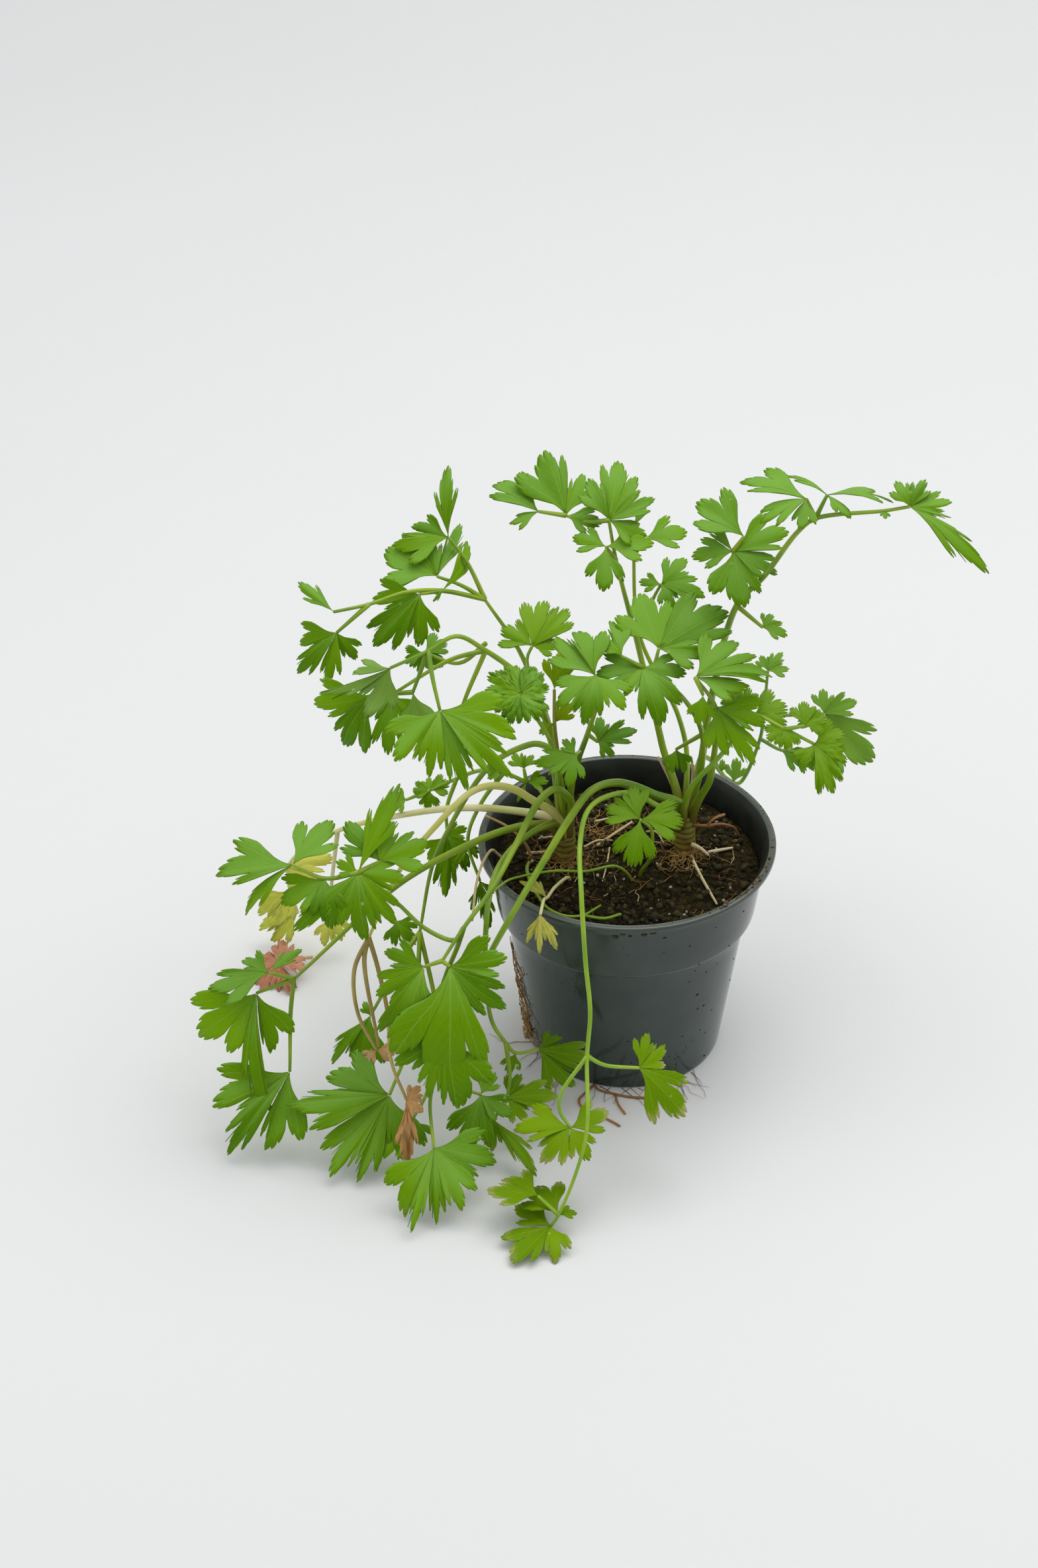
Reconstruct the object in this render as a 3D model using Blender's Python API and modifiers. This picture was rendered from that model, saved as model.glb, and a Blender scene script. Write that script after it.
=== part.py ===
"""A potted herb: a nursery pot of soil with leafy stems that arch, trail over the rim and lie on the table.

Run with: blender --background --python part.py
Units are metres, +Z up, +X to the right and +Y away from the viewer. The pot's underside is centred on the origin.
"""

import math
import random

import bmesh
import bpy
from mathutils import Vector

MM = 0.001

# Driving dimensions of the pot, in millimetres
RIM_RADIUS = 60.0
POT_HEIGHT = 98.0
BASE_RADIUS = 40.0
LIP_HEIGHT = 2.6
LIP_WIDTH = 2.7
STEP_HEIGHT = 67.0
STEP_DEPTH = 3.1
TAPER = 0.14
WALL = 1.4
FLOOR = 1.6
DRAIN_HOLES = 6
DRAIN_RADIUS = 4.0
DRAIN_RING = 30.0
TURN_STEPS = 26

# Driving dimensions of what grows in it, in millimetres
SOIL_TOP = 86.0
GAP = 0.35
FOOT_DEPTH = 8.0
BLADE = 0.75
STALK_TIP = 0.6
BRANCH = 0.85
CROWN_LEFT = (-25.0, 2.0)
CROWN_RIGHT = (23.5, 9.0)
CROWN_BANDS = ((3.5, 78), (4.2, 84), (4.0, 88), (4.3, 92), (3.8, 96), (4.1, 99), (3.0, 103))

# Half of each kind of leaflet, from its midrib outwards: half angle, then (share of the angle, share of the length)
OUTLINES = {
    "broad": (54, ((0, 1), (0.2, 0.86), (0.36, 0.5), (0.68, 0.88), (1, 0.5))),
    "cut": (46, ((0, 1), (0.2, 0.82), (0.37, 0.34), (0.68, 0.86), (1, 0.42))),
    "mid": (44, ((0, 1), (0.4, 0.54), (0.7, 0.84), (1, 0.42))),
    "small": (50, ((0, 1), (0.62, 0.8), (1, 0.4))),
    "narrow": (16, ((0, 1), (0.6, 0.76), (1, 0.42))),
}

# Where each stem grows, in millimetres: look, foot radius, its stalks, and its leaves as (hub, way the face looks,
# then the tip of each leaflet). The first stalk is the main one. The others branch from points of those above them.
STEMS = {
    "stem_high_left": (
        "leaf_green", 1.5,
        [
            ((-25, 9.2, 78), (-25, 9.2, 87), (-29, 11, 103), (-30, 15, 133), (-43, 22, 171), (-57, 25, 194)),
            ((-57, 25, 194), (-64, 28, 209), (-71, 31, 218)),
            ((-57, 25, 194), (-66, 22, 202), (-75, 20, 207)),
            ((-57, 25, 194), (-73, 16, 203), (-86, 8, 207), (-100, 2, 205), (-113, -4, 205)),
            ((-100, 2, 205), (-112, -6, 197)),
            ((-73, 16, 203), (-81, 10, 205)),
        ],
        [
            ((-71, 31, 218), (-0.1, -0.7, 0.7), ("narrow", -74, 47, 241), ("mid", -93, 28, 216), ("mid", -86, 35, 221)),
            ((-75, 20, 207), (-0.1, -0.6, 0.8), ("broad", -97, 30, 212), ("mid", -78, 33, 217), ("narrow", -66, 45, 218)),
            ((-73, 16, 203), (0.8, -0.5, 0.3), ("narrow", -76, 9, 203), ("narrow", -64, 40, 210)),
            ((-113, -4, 205), (-0.3, -0.5, 0.8), ("narrow", -128, 11, 209)),
            ((-112, -6, 197), (-0.2, -0.85, 0.5),
             ("mid", -128, -3, 189), ("mid", -127, -10, 179), ("mid", -116, -12, 177), ("mid", -105, -8, 185)),
            ((-81, 10, 205), (0, -0.85, 0.5), ("mid", -100, 8, 202), ("broad", -99, 0, 187), ("mid", -82, 0, 187)),
        ],
    ),
    "stem_arch_left": (
        "leaf_green", 1.6,
        [
            ((-32, 3, 78), (-32, 3, 87), (-29, 3, 113), (-31, 4, 145), (-40, -2, 173), (-55, -8, 191),
             (-66, -14, 201), (-76, -20, 198), (-90, -26, 194)),
            ((-76, -20, 198), (-74, -28, 191), (-71, -36, 182)),
            ((-55, -8, 191), (-64, -16, 170), (-66, -18, 159)),
            ((-55, -8, 191), (-69, -4, 184), (-92, -6, 169)),
            ((-76, -20, 198), (-82, -24, 182)),
            ((-82, -24, 182), (-98, -22, 179)),
        ],
        [
            ((-71, -36, 182), (0, -0.7, 0.7),
             ("cut", -42, -42, 176), ("cut", -44, -54, 164), ("mid", -59, -57, 161), ("cut", -74, -54, 164),
             ("cut", -88, -50, 168)),
            ((-90, -26, 194), (-0.25, -0.8, 0.6), ("mid", -104, -28, 191), ("narrow", -117, -24, 179), ("mid", -98, -32, 176)),
            ((-92, -6, 169), (-0.1, -0.8, 0.6), ("mid", -103, -11, 161), ("mid", -92, -20, 150), ("mid", -84, -13, 161)),
            ((-82, -24, 182), (0.2, -0.8, 0.5), ("mid", -79, -33, 167)),
            ((-98, -22, 179), (-0.3, -0.9, 0.3), ("cut", -112, -25, 158), ("mid", -121, -18, 169)),
            ((-66, -18, 159), (0.2, -0.75, 0.65), ("small", -56, -12, 163), ("small", -53, -19, 154)),
        ],
    ),
    "stem_top": (
        "leaf_green", 1.6,
        [
            ((17.2, 11.3, 78), (17.2, 11.3, 87), (17, 20, 109), (4, 35, 164), (-6, 43, 202), (-9, 46, 218)),
            ((-6, 43, 202), (-10, 41, 209)),
            ((-9, 46, 218), (-18, 50, 215), (-26, 53, 216)),
            ((-26, 53, 216), (-37, 56, 216)),
        ],
        [
            ((-9, 46, 218), (0.05, -0.6, 0.8),
             ("broad", -4, 67, 234), ("cut", 10, 54, 223), ("mid", -17, 59, 230), ("small", 6, 46, 212)),
            ((-10, 41, 209), (0, -0.6, 0.8), ("mid", -23, 45, 212), ("mid", 9, 42, 210), ("mid", -11, 26, 198)),
            ((-26, 53, 216), (0, -0.6, 0.8), ("broad", -33, 74, 234), ("mid", -21, 67, 228), ("mid", -12, 49, 214)),
            ((-37, 56, 216), (-0.15, -0.6, 0.8), ("cut", -56, 70, 222), ("mid", -49, 55, 212)),
        ],
    ),
    "stem_slender": (
        "leaf_green", 1.1,
        [
            ((20, 15, 78), (20, 15, 87), (24, 24, 119), (20, 32, 136), (4, 52, 161), (1, 63, 192), (1, 66, 204)),
            ((4, 52, 161), (9, 50, 180), (12, 48, 188)),
            ((1, 63, 192), (5, 63, 200)),
        ],
        [
            ((5, 63, 200), (0.1, -0.5, 0.86), ("mid", 23, 69, 201)),
            ((1, 66, 204), (0, -0.6, 0.8), ("narrow", 5, 74, 210)),
            ((12, 48, 188), (0, -0.6, 0.8),
             ("mid", 22, 58, 195), ("mid", 30, 46, 186), ("small", 18, 40, 182), ("small", 3, 49, 188)),
        ],
    ),
    "stem_arch_right": (
        "leaf_green", 1.6,
        [
            ((27.3, 14.6, 78), (27.3, 14.6, 87), (30, 17, 131), (33, 17, 158), (41, 16, 198), (51, 15, 212),
             (63, 13, 233), (69, 12, 239), (94, 6, 246), (103, 4, 249)),
            ((41, 16, 198), (39, 23, 218)),
            ((41, 16, 198), (51, 10, 192)),
            ((69, 12, 239), (73, 14, 248)),
            ((69, 12, 239), (65, 9, 249)),
            ((39, 23, 218), (43, 24, 224)),
        ],
        [
            ((39, 23, 218), (0, -0.55, 0.83),
             ("mid", 23, 22, 217), ("broad", 43, 4, 205), ("cut", 56, 15, 213), ("mid", 61, 29, 222),
             ("narrow", 28, 34, 226)),
            ((43, 24, 224), (0, -0.5, 0.86), ("cut", 24, 36, 231)),
            ((51, 10, 192), (0.1, -0.5, 0.86), ("small", 61, 9, 190), ("small", 55, 16, 195)),
            ((73, 14, 248), (0, -0.35, 0.94), ("narrow", 58, 25, 252), ("cut", 98, 14, 248), ("mid", 82, 5, 245)),
            ((65, 9, 249), (0, -0.5, 0.86), ("cut", 40, 16, 253), ("cut", 47, 0, 244), ("mid", 62, -2, 242)),
            ((103, 4, 249), (0.15, -0.6, 0.8),
             ("small", 98, 10, 257), ("small", 108, 12, 257), ("mid", 119, 6, 249), ("narrow", 118, 0, 246),
             ("narrow", 134, -11, 232)),
            ((94, 6, 246), (0, -0.3, 0.95), ("small", 94, 2, 245)),
        ],
    ),
    "stem_middle": (
        "leaf_green", 1.4,
        [
            ((29.8, 11.4, 78), (29.8, 11.4, 87), (29, 9, 117), (29, 4, 146), (21, -1, 166), (9, -5, 180), (5, -6, 183)),
            ((9, -5, 180), (11, -2, 189)),
            ((5, -6, 183), (-3, -6, 188)),
            ((29, 4, 146), (19, 8, 136)),
        ],
        [
            ((5, -6, 183), (0, -0.55, 0.83),
             ("mid", -13, -9, 181), ("broad", 11, -25, 170), ("mid", -1, -17, 176), ("mid", 22, -7, 182)),
            ((11, -2, 189), (0, -0.6, 0.8), ("broad", 4, 17, 203), ("broad", 38, 12, 200), ("mid", 31, -4, 188)),
            ((-3, -6, 188), (0, -0.55, 0.83), ("mid", -9, 7, 197), ("small", -9, 0, 193)),
            ((19, 8, 136), (0, -0.85, 0.5), ("small", 17, 3, 128), ("small", 23, 3, 128)),
        ],
    ),
    "stem_inner_left": (
        "leaf_green", 1.5,
        [
            ((-18, 3, 78), (-18, 3, 87), (-22, 4, 119), (-20, 2, 133), (-16, -3, 150), (-12, -8, 170), (-13, -12, 183)),
            ((-16, -3, 150), (-12, -4, 147)),
            ((-20, 2, 133), (-19, -14, 149), (-20, -26, 156)),
        ],
        [
            ((-13, -12, 183), (0, -0.55, 0.83),
             ("broad", -22, 4, 194), ("mid", -29, 3, 193), ("cut", -28, -22, 176), ("broad", -16, -28, 172),
             ("mid", -2, -24, 175)),
            ((-12, -4, 147), (0, -0.6, 0.8), ("small", -10, 5, 153), ("mid", 3, 1, 151), ("small", -5, -8, 144)),
            ((-20, -26, 156), (-0.1, -0.6, 0.8), ("mid", -36, -28, 152), ("small", -26, -21, 159), ("mid", -22, -36, 148)),
        ],
    ),
    "stem_bright": (
        "leaf_bright", 1.1,
        [
            ((-29.6, 7.6, 78), (-29.6, 7.6, 87), (-29, 9, 122), (-33, 8, 148), (-40, 10, 176), (-38, 10, 182)),
        ],
        [
            ((-38, 10, 182), (0, -0.7, 0.8),
             ("mid", -32, 25, 194), ("mid", -23, 22, 191), ("mid", -50, 16, 187), ("small", -28, 10, 182)),
        ],
    ),
    "stem_curly": (
        "leaf_green", 1.3,
        [
            ((-25, -5, 78), (-25, -5, 87), (-26, -8, 121), (-29, -17, 153), (-41, -26, 183)),
        ],
        [
            ((-41, -26, 183), (0, -0.65, 0.76),
             ("mid", -53, -19, 189), ("mid", -47, -16, 191), ("mid", -36, -17, 191), ("small", -30, -24, 185),
             ("mid", -34, -34, 176), ("mid", -45, -35, 175), ("small", -51, -31, 179)),
        ],
    ),
    "stem_yellowing": (
        "leaf_yellow", 1.1,
        [
            ((-20.2, 7.2, 78), (-20.2, 7.2, 87), (-26, 6, 116), (-28, 2, 138), (-29, -3, 155), (-29, -4, 171)),
        ],
        [
            ((-29, -4, 171), (0, -0.7, 0.7), ("mid", -27, 7, 182)),
            ((-29, -3, 155), (-0.2, -0.7, 0.7), ("small", -35, -5, 151), ("small", -22, 2, 162)),
        ],
    ),
    "stem_rim_left": (
        "leaf_bright", 1.2,
        [
            ((-33.5, 9.5, 78), (-33.5, 9.5, 87), (-33, 12, 95), (-41, 15, 114)),
            ((-41, 15, 114), (-51, 16, 119)),
            ((-41, 15, 114), (-42, 16, 120)),
        ],
        [
            ((-41, 15, 114), (0, -0.7, 0.7), ("small", -32, 16, 115), ("narrow", -44, 9, 108)),
            ((-42, 16, 120), (0, -0.6, 0.8), ("small", -47, 22, 124), ("small", -39, 21, 124)),
            ((-51, 16, 119), (0, -0.6, 0.8), ("small", -57, 14, 117), ("small", -55, 20, 122)),
        ],
    ),
    "stem_right": (
        "leaf_green", 1.6,
        [
            ((30.2, 7.6, 78), (30.2, 7.6, 87), (32, 2, 118), (34, -6, 149), (33, -14, 171), (25, -17, 186)),
            ((25, -17, 186), (28, -20, 180)),
        ],
        [
            ((25, -17, 186), (0.1, -0.5, 0.86), ("mid", 42, 0, 194), ("broad", 55, -11, 186), ("mid", 46, -18, 183)),
            ((28, -20, 180), (0, -0.85, 0.5), ("small", 27, -26, 170)),
            ((33, -14, 171), (0.2, -0.75, 0.6), ("cut", 39, -25, 156), ("broad", 49, -25, 151), ("cut", 52, -16, 162)),
        ],
    ),
    "stem_right_small": (
        "leaf_bright", 1.2,
        [
            ((18.6, 3.8, 78), (18.6, 3.8, 87), (22, -6, 114), (25, -8, 129), (35, -11, 145), (45, -10, 160),
             (48, -12, 166), (60, -17, 163), (71, -21, 159)),
            ((60, -17, 163), (67, -19, 166)),
            ((48, -12, 166), (44, -11, 169)),
        ],
        [
            ((44, -11, 169), (0, -0.6, 0.8), ("small", 37, -5, 173), ("small", 45, -4, 174)),
            ((48, -12, 166), (0, -0.55, 0.83), ("mid", 61, -8, 169)),
            ((60, -17, 163), (0.05, -0.6, 0.8), ("small", 53, -21, 160), ("small", 61, -24, 158)),
            ((67, -19, 166), (0, -0.6, 0.8), ("small", 67, -11, 172), ("small", 76, -17, 168)),
            ((71, -21, 159), (0.05, -0.65, 0.75),
             ("mid", 83, -17, 162), ("mid", 84, -25, 154), ("small", 68, -29, 153), ("broad", 79, -34, 145)),
        ],
    ),
    "stem_behind": (
        "leaf_bluish", 1.1,
        [
            ((23.8, 15.8, 78), (23.8, 15.8, 87), (27, 32, 101), (30, 52, 102), (36, 64, 92), (42, 72, 78),
             (48, 76, 73), (56, 79, 94), (57, 80, 105), (58, 81, 127)),
            ((56, 79, 94), (65, 78, 89), (72, 77, 89)),
            ((57, 80, 105), (70, 78, 107), (82, 75, 110)),
            ((36, 64, 92), (39, 66, 85)),
            ((42, 72, 78), (45, 70, 77)),
        ],
        [
            ((58, 81, 127), (0, -0.55, 0.83), ("small", 64, 88, 132), ("small", 55, 87, 131), ("small", 67, 82, 128)),
            ((65, 78, 89), (0, -0.6, 0.8), ("mid", 77, 73, 85)),
            ((72, 77, 89), (0.25, -0.75, 0.6), ("small", 81, 71, 84)),
            ((82, 75, 110), (0.15, -0.7, 0.7),
             ("small", 82, 84, 117), ("mid", 96, 80, 114), ("small", 71, 71, 107), ("mid", 103, 74, 84)),
            ((39, 66, 85), (0.2, -0.8, 0.55), ("small", 40, 69, 90)),
            ((45, 70, 77), (0.1, -0.8, 0.55), ("small", 47, 76, 86)),
        ],
    ),
    "sprout_bright": (
        "leaf_bright", 0.8,
        [
            ((5.5, -10, 78), (5.5, -10, 87), (9, -15, 98), (10, -22, 112), (9, -29, 124), (5, -32, 130)),
        ],
        [
            ((5, -32, 130), (0, -0.65, 0.78),
             ("mid", -8, -27, 134), ("mid", 0, -21, 138), ("mid", 22, -32, 130), ("mid", 2, -45, 117)),
        ],
    ),
    "stem_front_big": (
        "leaf_green", 1.7,
        [
            ((-20.5, -3.6, 78), (-20.5, -3.6, 87), (-22, -10, 121), (-28, -15, 132), (-34, -21, 131), (-43, -36, 120),
             (-52, -54, 111), (-62, -66, 102), (-70, -74, 92)),
            ((-62, -66, 102), (-65, -65, 91), (-69, -66, 80), (-75, -72, 59), (-75, -74, 42), (-66, -77, 32),
             (-56, -80, 30)),
            ((-62, -66, 102), (-66, -65, 95), (-77, -62, 98), (-88, -60, 109), (-102, -61, 124)),
            ((-102, -61, 124), (-115, -60, 120), (-127, -61, 127)),
            ((-70, -74, 92), (-77, -74, 89)),
            ((-70, -74, 92), (-67, -76, 91)),
            ((-75, -72, 59), (-69, -86, 66)),
            ((-102, -61, 124), (-94, -58, 127)),
        ],
        [
            ((-77, -74, 89), (-0.1, -0.85, 0.5), ("mid", -93, -70, 93), ("cut", -97, -78, 78), ("cut", -86, -92, 60)),
            ((-67, -76, 91), (0, -0.85, 0.5), ("cut", -45, -74, 95), ("cut", -46, -85, 76), ("broad", -64, -99, 51)),
            ((-69, -86, 66), (0.05, -0.85, 0.5), ("cut", -87, -94, 54), ("broad", -63, -101, 40), ("cut", -75, -99, 44)),
            ((-56, -80, 30), (0.1, -0.7, 0.7),
             ("small", -51, -73, 36), ("cut", -62, -96, 14), ("mid", -44, -86, 23)),
            ((-102, -61, 124), (-0.1, -0.8, 0.6),
             ("small", -111, -58, 126), ("narrow", -87, -44, 154), ("narrow", -126, -71, 101), ("cut", -99, -75, 101),
             ("cut", -87, -71, 107), ("mid", -84, -62, 121)),
            ((-94, -58, 127), (0, -0.7, 0.7), ("broad", -77, -51, 134), ("mid", -88, -47, 138), ("mid", -108, -47, 138)),
            ((-115, -60, 120), (-0.1, -0.7, 0.7), ("mid", -132, -65, 111), ("mid", -112, -73, 106)),
            ((-127, -61, 127), (-0.2, -0.45, 0.87), ("mid", -113, -43, 135), ("mid", -158, -62, 123), ("narrow", -149, -67, 109)),
        ],
    ),
    "stem_front_long": (
        "leaf_green", 1.7,
        [
            ((16.6, 7.2, 78), (16.6, 7.2, 87), (20, -2, 113), (14, -5, 121), (-4, -13, 134), (-14, -20, 135),
             (-22, -30, 129), (-32, -44, 118), (-42, -56, 105), (-52, -65, 89), (-63, -72, 65), (-70, -80, 48),
             (-75, -88, 36), (-73, -105, 24)),
        ],
        [
            ((-73, -105, 24), (0, -0.6, 0.8),
             ("cut", -85, -124, 6), ("mid", -79, -131, 3), ("cut", -71, -128, 6), ("mid", -48, -105, 19),
             ("cut", -61, -124, 9)),
        ],
    ),
    "stem_trail_left": (
        "leaf_green", 1.6,
        [
            ((-35, -3, 78), (-35, -3, 87), (-33, -4, 97), (-40, -8, 105), (-49, -12, 109), (-60, -18, 108),
             (-88, -30, 97), (-131, -52, 64)),
            ((-131, -52, 64), (-140, -56, 70)),
            ((-131, -52, 64), (-145, -60, 63)),
            ((-131, -52, 64), (-132, -60, 53), (-132, -70, 38), (-132, -73, 34)),
        ],
        [
            ((-140, -56, 70), (0.1, -0.45, 0.88), ("cut", -164, -60, 66), ("small", -152, -50, 71), ("narrow", -129, -41, 73)),
            ((-145, -60, 63), (-0.15, -0.8, 0.6), ("cut", -169, -68, 44), ("narrow", -142, -85, 21), ("cut", -138, -72, 42)),
            ((-132, -73, 34), (-0.1, -0.75, 0.65), ("mid", -161, -82, 19), ("cut", -156, -94, 6), ("cut", -142, -93, 10)),
        ],
    ),
    "stem_trail_deep": (
        "leaf_green", 1.4,
        [
            ((-31, -1.5, 78), (-31, -1.5, 87), (-28, -2, 115), (-29, -9, 145), (-35, -9, 149), (-41, -8, 147),
             (-54, -8, 138), (-71, -9, 108), (-78, -12, 91), (-83, -23, 66)),
            ((-83, -23, 66), (-88, -28, 60), (-102, -46, 41)),
            ((-83, -23, 66), (-83, -38, 55), (-83, -58, 45), (-92, -80, 29)),
            ((-83, -23, 66), (-76, -42, 44), (-74, -60, 34), (-79, -76, 23), (-83, -84, 20)),
        ],
        [
            ((-102, -46, 41), (-0.2, -0.8, 0.55), ("narrow", -119, -55, 22), ("cut", -107, -58, 22), ("small", -105, -42, 45)),
            ((-92, -80, 29), (0, -0.65, 0.75),
             ("broad", -118, -76, 33), ("mid", -132, -88, 26), ("cut", -114, -102, 4), ("cut", -104, -103, 3),
             ("mid", -88, -97, 10)),
            ((-83, -84, 20), (0, -0.65, 0.75), ("mid", -97, -96, 8), ("small", -78, -92, 13)),
        ],
    ),
    "stem_pale": (
        "leaf_pale", 1.6,
        [
            ((-36, 5, 78), (-36, 5, 87), (-35, 6, 103), (-41, 7, 105), (-67, 12, 103), (-96, 22, 91), (-121, 32, 76),
             (-140, 39, 58), (-145, 42, 49)),
            ((-145, 42, 49), (-145, 47, 33), (-143, 52, 17)),
            ((-121, 32, 76), (-127, 44, 34), (-128, 48, 18)),
        ],
        [
            ((-145, 42, 49), (-0.1, -0.6, 0.8), ("mid", -125, 44, 53), ("mid", -131, 33, 44)),
            ((-145, 47, 33), (-0.1, -0.75, 0.65), ("mid", -159, 41, 23), ("mid", -150, 37, 21)),
            ((-143, 52, 17), (-0.1, -0.7, 0.7), ("mid", -161, 49, 11), ("mid", -156, 45, 8)),
            ((-128, 48, 18), (0, -0.7, 0.7), ("mid", -131, 39, 9), ("small", -122, 41, 11)),
        ],
    ),
    "stem_dry": (
        "dry_leaf", 1.7,
        [
            ((-29, -6.5, 78), (-29, -6.5, 87), (-29, -8, 108), (-42, -11, 127), (-52, -15, 133), (-61, -24, 136),
             (-75, -36, 127), (-88, -45, 113), (-100, -55, 88)),
            ((-100, -55, 88), (-106, -58, 74), (-105, -62, 55), (-98, -66, 40)),
            ((-100, -55, 88), (-102, -57, 78), (-97, -66, 42)),
            ((-100, -55, 88), (-97, -56, 74), (-93, -64, 57), (-91, -78, 45), (-84, -94, 39)),
        ],
        [
            ((-98, -66, 40), (0, -0.8, 0.6), ("small", -103, -69, 36), ("small", -90, -67, 39)),
            ((-84, -94, 39), (0.1, -0.8, 0.6), ("narrow", -83, -106, 14), ("small", -79, -90, 43), ("small", -77, -97, 36)),
        ],
    ),
    "stem_front_thin": (
        "leaf_bright", 1.1,
        [
            ((13, 0, 78), (13, 0, 87), (16, -12, 115), (10, -14, 125), (0, -17, 132), (-12, -26, 134), (-16, -32, 132),
             (-18, -42, 125), (-17, -62, 116), (-15, -74, 92), (-13, -84, 76), (-14, -92, 61), (-14, -113, 38),
             (-24, -125, 9), (-27, -126, 4)),
            ((-14, -92, 61), (-24, -99, 47), (-24, -102, 41), (-20, -105, 36)),
            ((-14, -92, 61), (-7, -90, 55), (6, -90, 54)),
            ((-24, -125, 9), (-32, -121, 15)),
        ],
        [
            ((-27, -126, 4), (0, -0.04, 1), ("mid", -42, -117, 4), ("broad", -39, -146, 3), ("mid", -26, -143, 3)),
            ((-24, -125, 9), (0, -0.1, 0.99), ("small", -17, -123, 9), ("broad", -36, -110, 10)),
            ((-32, -121, 15), (0, -0.1, 0.99), ("mid", -52, -120, 15), ("mid", -46, -110, 16)),
            ((-20, -105, 36), (0.05, -0.5, 0.86),
             ("mid", -42, -105, 36), ("mid", -32, -116, 29), ("mid", -5, -98, 38), ("mid", -12, -115, 29)),
            ((6, -90, 54), (0.15, -0.7, 0.7), ("mid", 11, -80, 63), ("small", 17, -83, 59), ("mid", 25, -98, 38)),
        ],
    ),
    "stem_floor": (
        "leaf_green", 1.3,
        [
            ((-28, -10, 78), (-28, -10, 87), (-30, -10, 106), (-39, -16, 110), (-47, -26, 108), (-52, -40, 105),
             (-54, -56, 95), (-54, -62, 73), (-52, -62, 52), (-47, -60, 40), (-43, -58, 33), (-34, -54, 32)),
            ((-47, -60, 40), (-45, -68, 29), (-46, -74, 23)),
            ((-46, -74, 23), (-51, -80, 17)),
        ],
        [
            ((-34, -54, 32), (0.1, -0.8, 0.6), ("small", -25, -50, 36), ("broad", -12, -55, 28), ("mid", -19, -62, 19)),
            ((-43, -58, 33), (0, -0.6, 0.8), ("small", -46, -65, 28)),
            ((-46, -74, 23), (0.05, -0.6, 0.8), ("small", -40, -66, 29), ("broad", -26, -71, 24), ("small", -37, -80, 18)),
            ((-51, -80, 17), (0, -0.5, 0.86), ("small", -57, -85, 14), ("mid", -51, -91, 10), ("narrow", -33, -99, 6)),
        ],
    ),
    "sprout_withered": (
        "leaf_pale", 0.7,
        [
            ((-23, -13, 78), (-23, -13, 87), (-28, -24, 91), (-31, -37, 95), (-32, -45, 100), (-33, -54, 100)),
        ],
        [
            ((-31, -37, 95), (0, -0.4, 0.9), ("small", -42, -32, 100), ("small", -38, -29, 99)),
            ((-33, -54, 100), (0, -0.8, 0.6), ("small", -38, -62, 92), ("small", -34, -66, 90), ("small", -26, -65, 92)),
        ],
    ),
    "sprout_arc": (
        "leaf_bright", 0.8,
        [
            ((-39, -3, 78), (-39, -3, 87), (-40, -9, 89), (-39, -17, 90), (-35, -29, 90), (-30, -38, 90), (-23, -42, 90),
             (-17, -40, 89), (-10, -32, 88)),
            ((-17, -40, 89), (-8, -43, 90), (-2, -40, 90)),
        ],
        [],
    ),
    "sprout_thread": (
        "leaf_bright", 0.6,
        [
            ((2, -13, 78), (2, -13, 87), (-4, -14, 94), (-16, -19, 95), (-28, -19, 95), (-36, -21, 95), (-42, -26, 97),
             (-47, -33, 100), (-53, -40, 99)),
        ],
        [],
    ),
    "stalk_pink": (
        "dry_leaf", 0.7,
        [
            ((-39, 2, 78), (-39, 2, 87), (-42, 1, 95), (-48, 2, 101), (-57, 4, 105)),
        ],
        [],
    ),
    "stub_left": (
        "straw", 1.1,
        [
            ((16.4, 19.5, 78), (16.4, 19.5, 87), (16, 24, 104), (11, 26, 121)),
        ],
        [],
    ),
    "husk_right": (
        "straw", 0.9,
        [
            ((24, 9.5, 103.8), (25.5, 9.5, 115), (26, 9, 125), (25, 9, 132)),
        ],
        [],
    ),
    "root_orange": (
        "root_brown", 0.6,
        [
            ((27, 2.5, 103), (32, 1, 104), (37, 5, 102), (41, 11, 97), (44, 16, 92), (46, 17, 87.2)),
            ((32, 1, 104), (35, 2, 107), (39, 6, 106)),
        ],
        [],
    ),
    "straw_upper": (
        "straw", 0.95,
        [
            ((26.2, 5.2, 91.5), (30, 3, 91), (33, 0, 90)),
        ],
        [],
    ),
    "straw_flat": (
        "straw", 0.8,
        [
            ((33, 5.5, 87.3), (37, 7, 87.3), (43, 9, 87.3)),
        ],
        [],
    ),
    "straw_front": (
        "straw", 0.7,
        [
            ((26, 2.5, 87.6), (30, -11, 87.3), (36, -29, 87.3)),
        ],
        [],
    ),
    "wisp_left": (
        "straw", 0.6,
        [
            ((-48, -3, 86.4), (-52, -7, 94), (-54, -12, 99.5), (-57, -22, 100.5), (-59, -34, 98.5), (-60, -46, 90)),
        ],
        [],
    ),
    "root_left": (
        "root_brown", 0.55,
        [
            ((-40, -25, 45), (-39, -24, 34), (-37.5, -23.5, 24), (-36.5, -23, 14)),
            ((-39, -24, 34), (-37, -30, 27)),
        ],
        [],
    ),
    "root_front": (
        "root_brown", 0.5,
        [
            ((-12, -38.8, 0.6), (-15, -43.5, 0.6), (-18, -48.5, 0.6), (-17, -52.5, 0.6), (-14, -55.5, 0.6),
             (-10, -57.5, 0.6), (-4, -61.5, 0.6), (-1, -64, 0.6)),
            ((-12, -38.8, 0.6), (-10, -42, 0.6), (-3, -44.5, 0.6), (2, -46, 0.6), (9, -46.5, 0.6)),
            ((-3, -44.5, 0.6), (-2, -50.5, 0.6), (1, -56.5, 0.6)),
        ],
        [],
    ),
    "dried_leaf": (
        "dry_leaf", 0.8,
        [
            ((-136, 38, 3.5), (-143, 36, 4), (-150, 32, 4.5)),
        ],
        [
            ((-150, 32, 4.5), (0, -0.05, 1),
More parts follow.
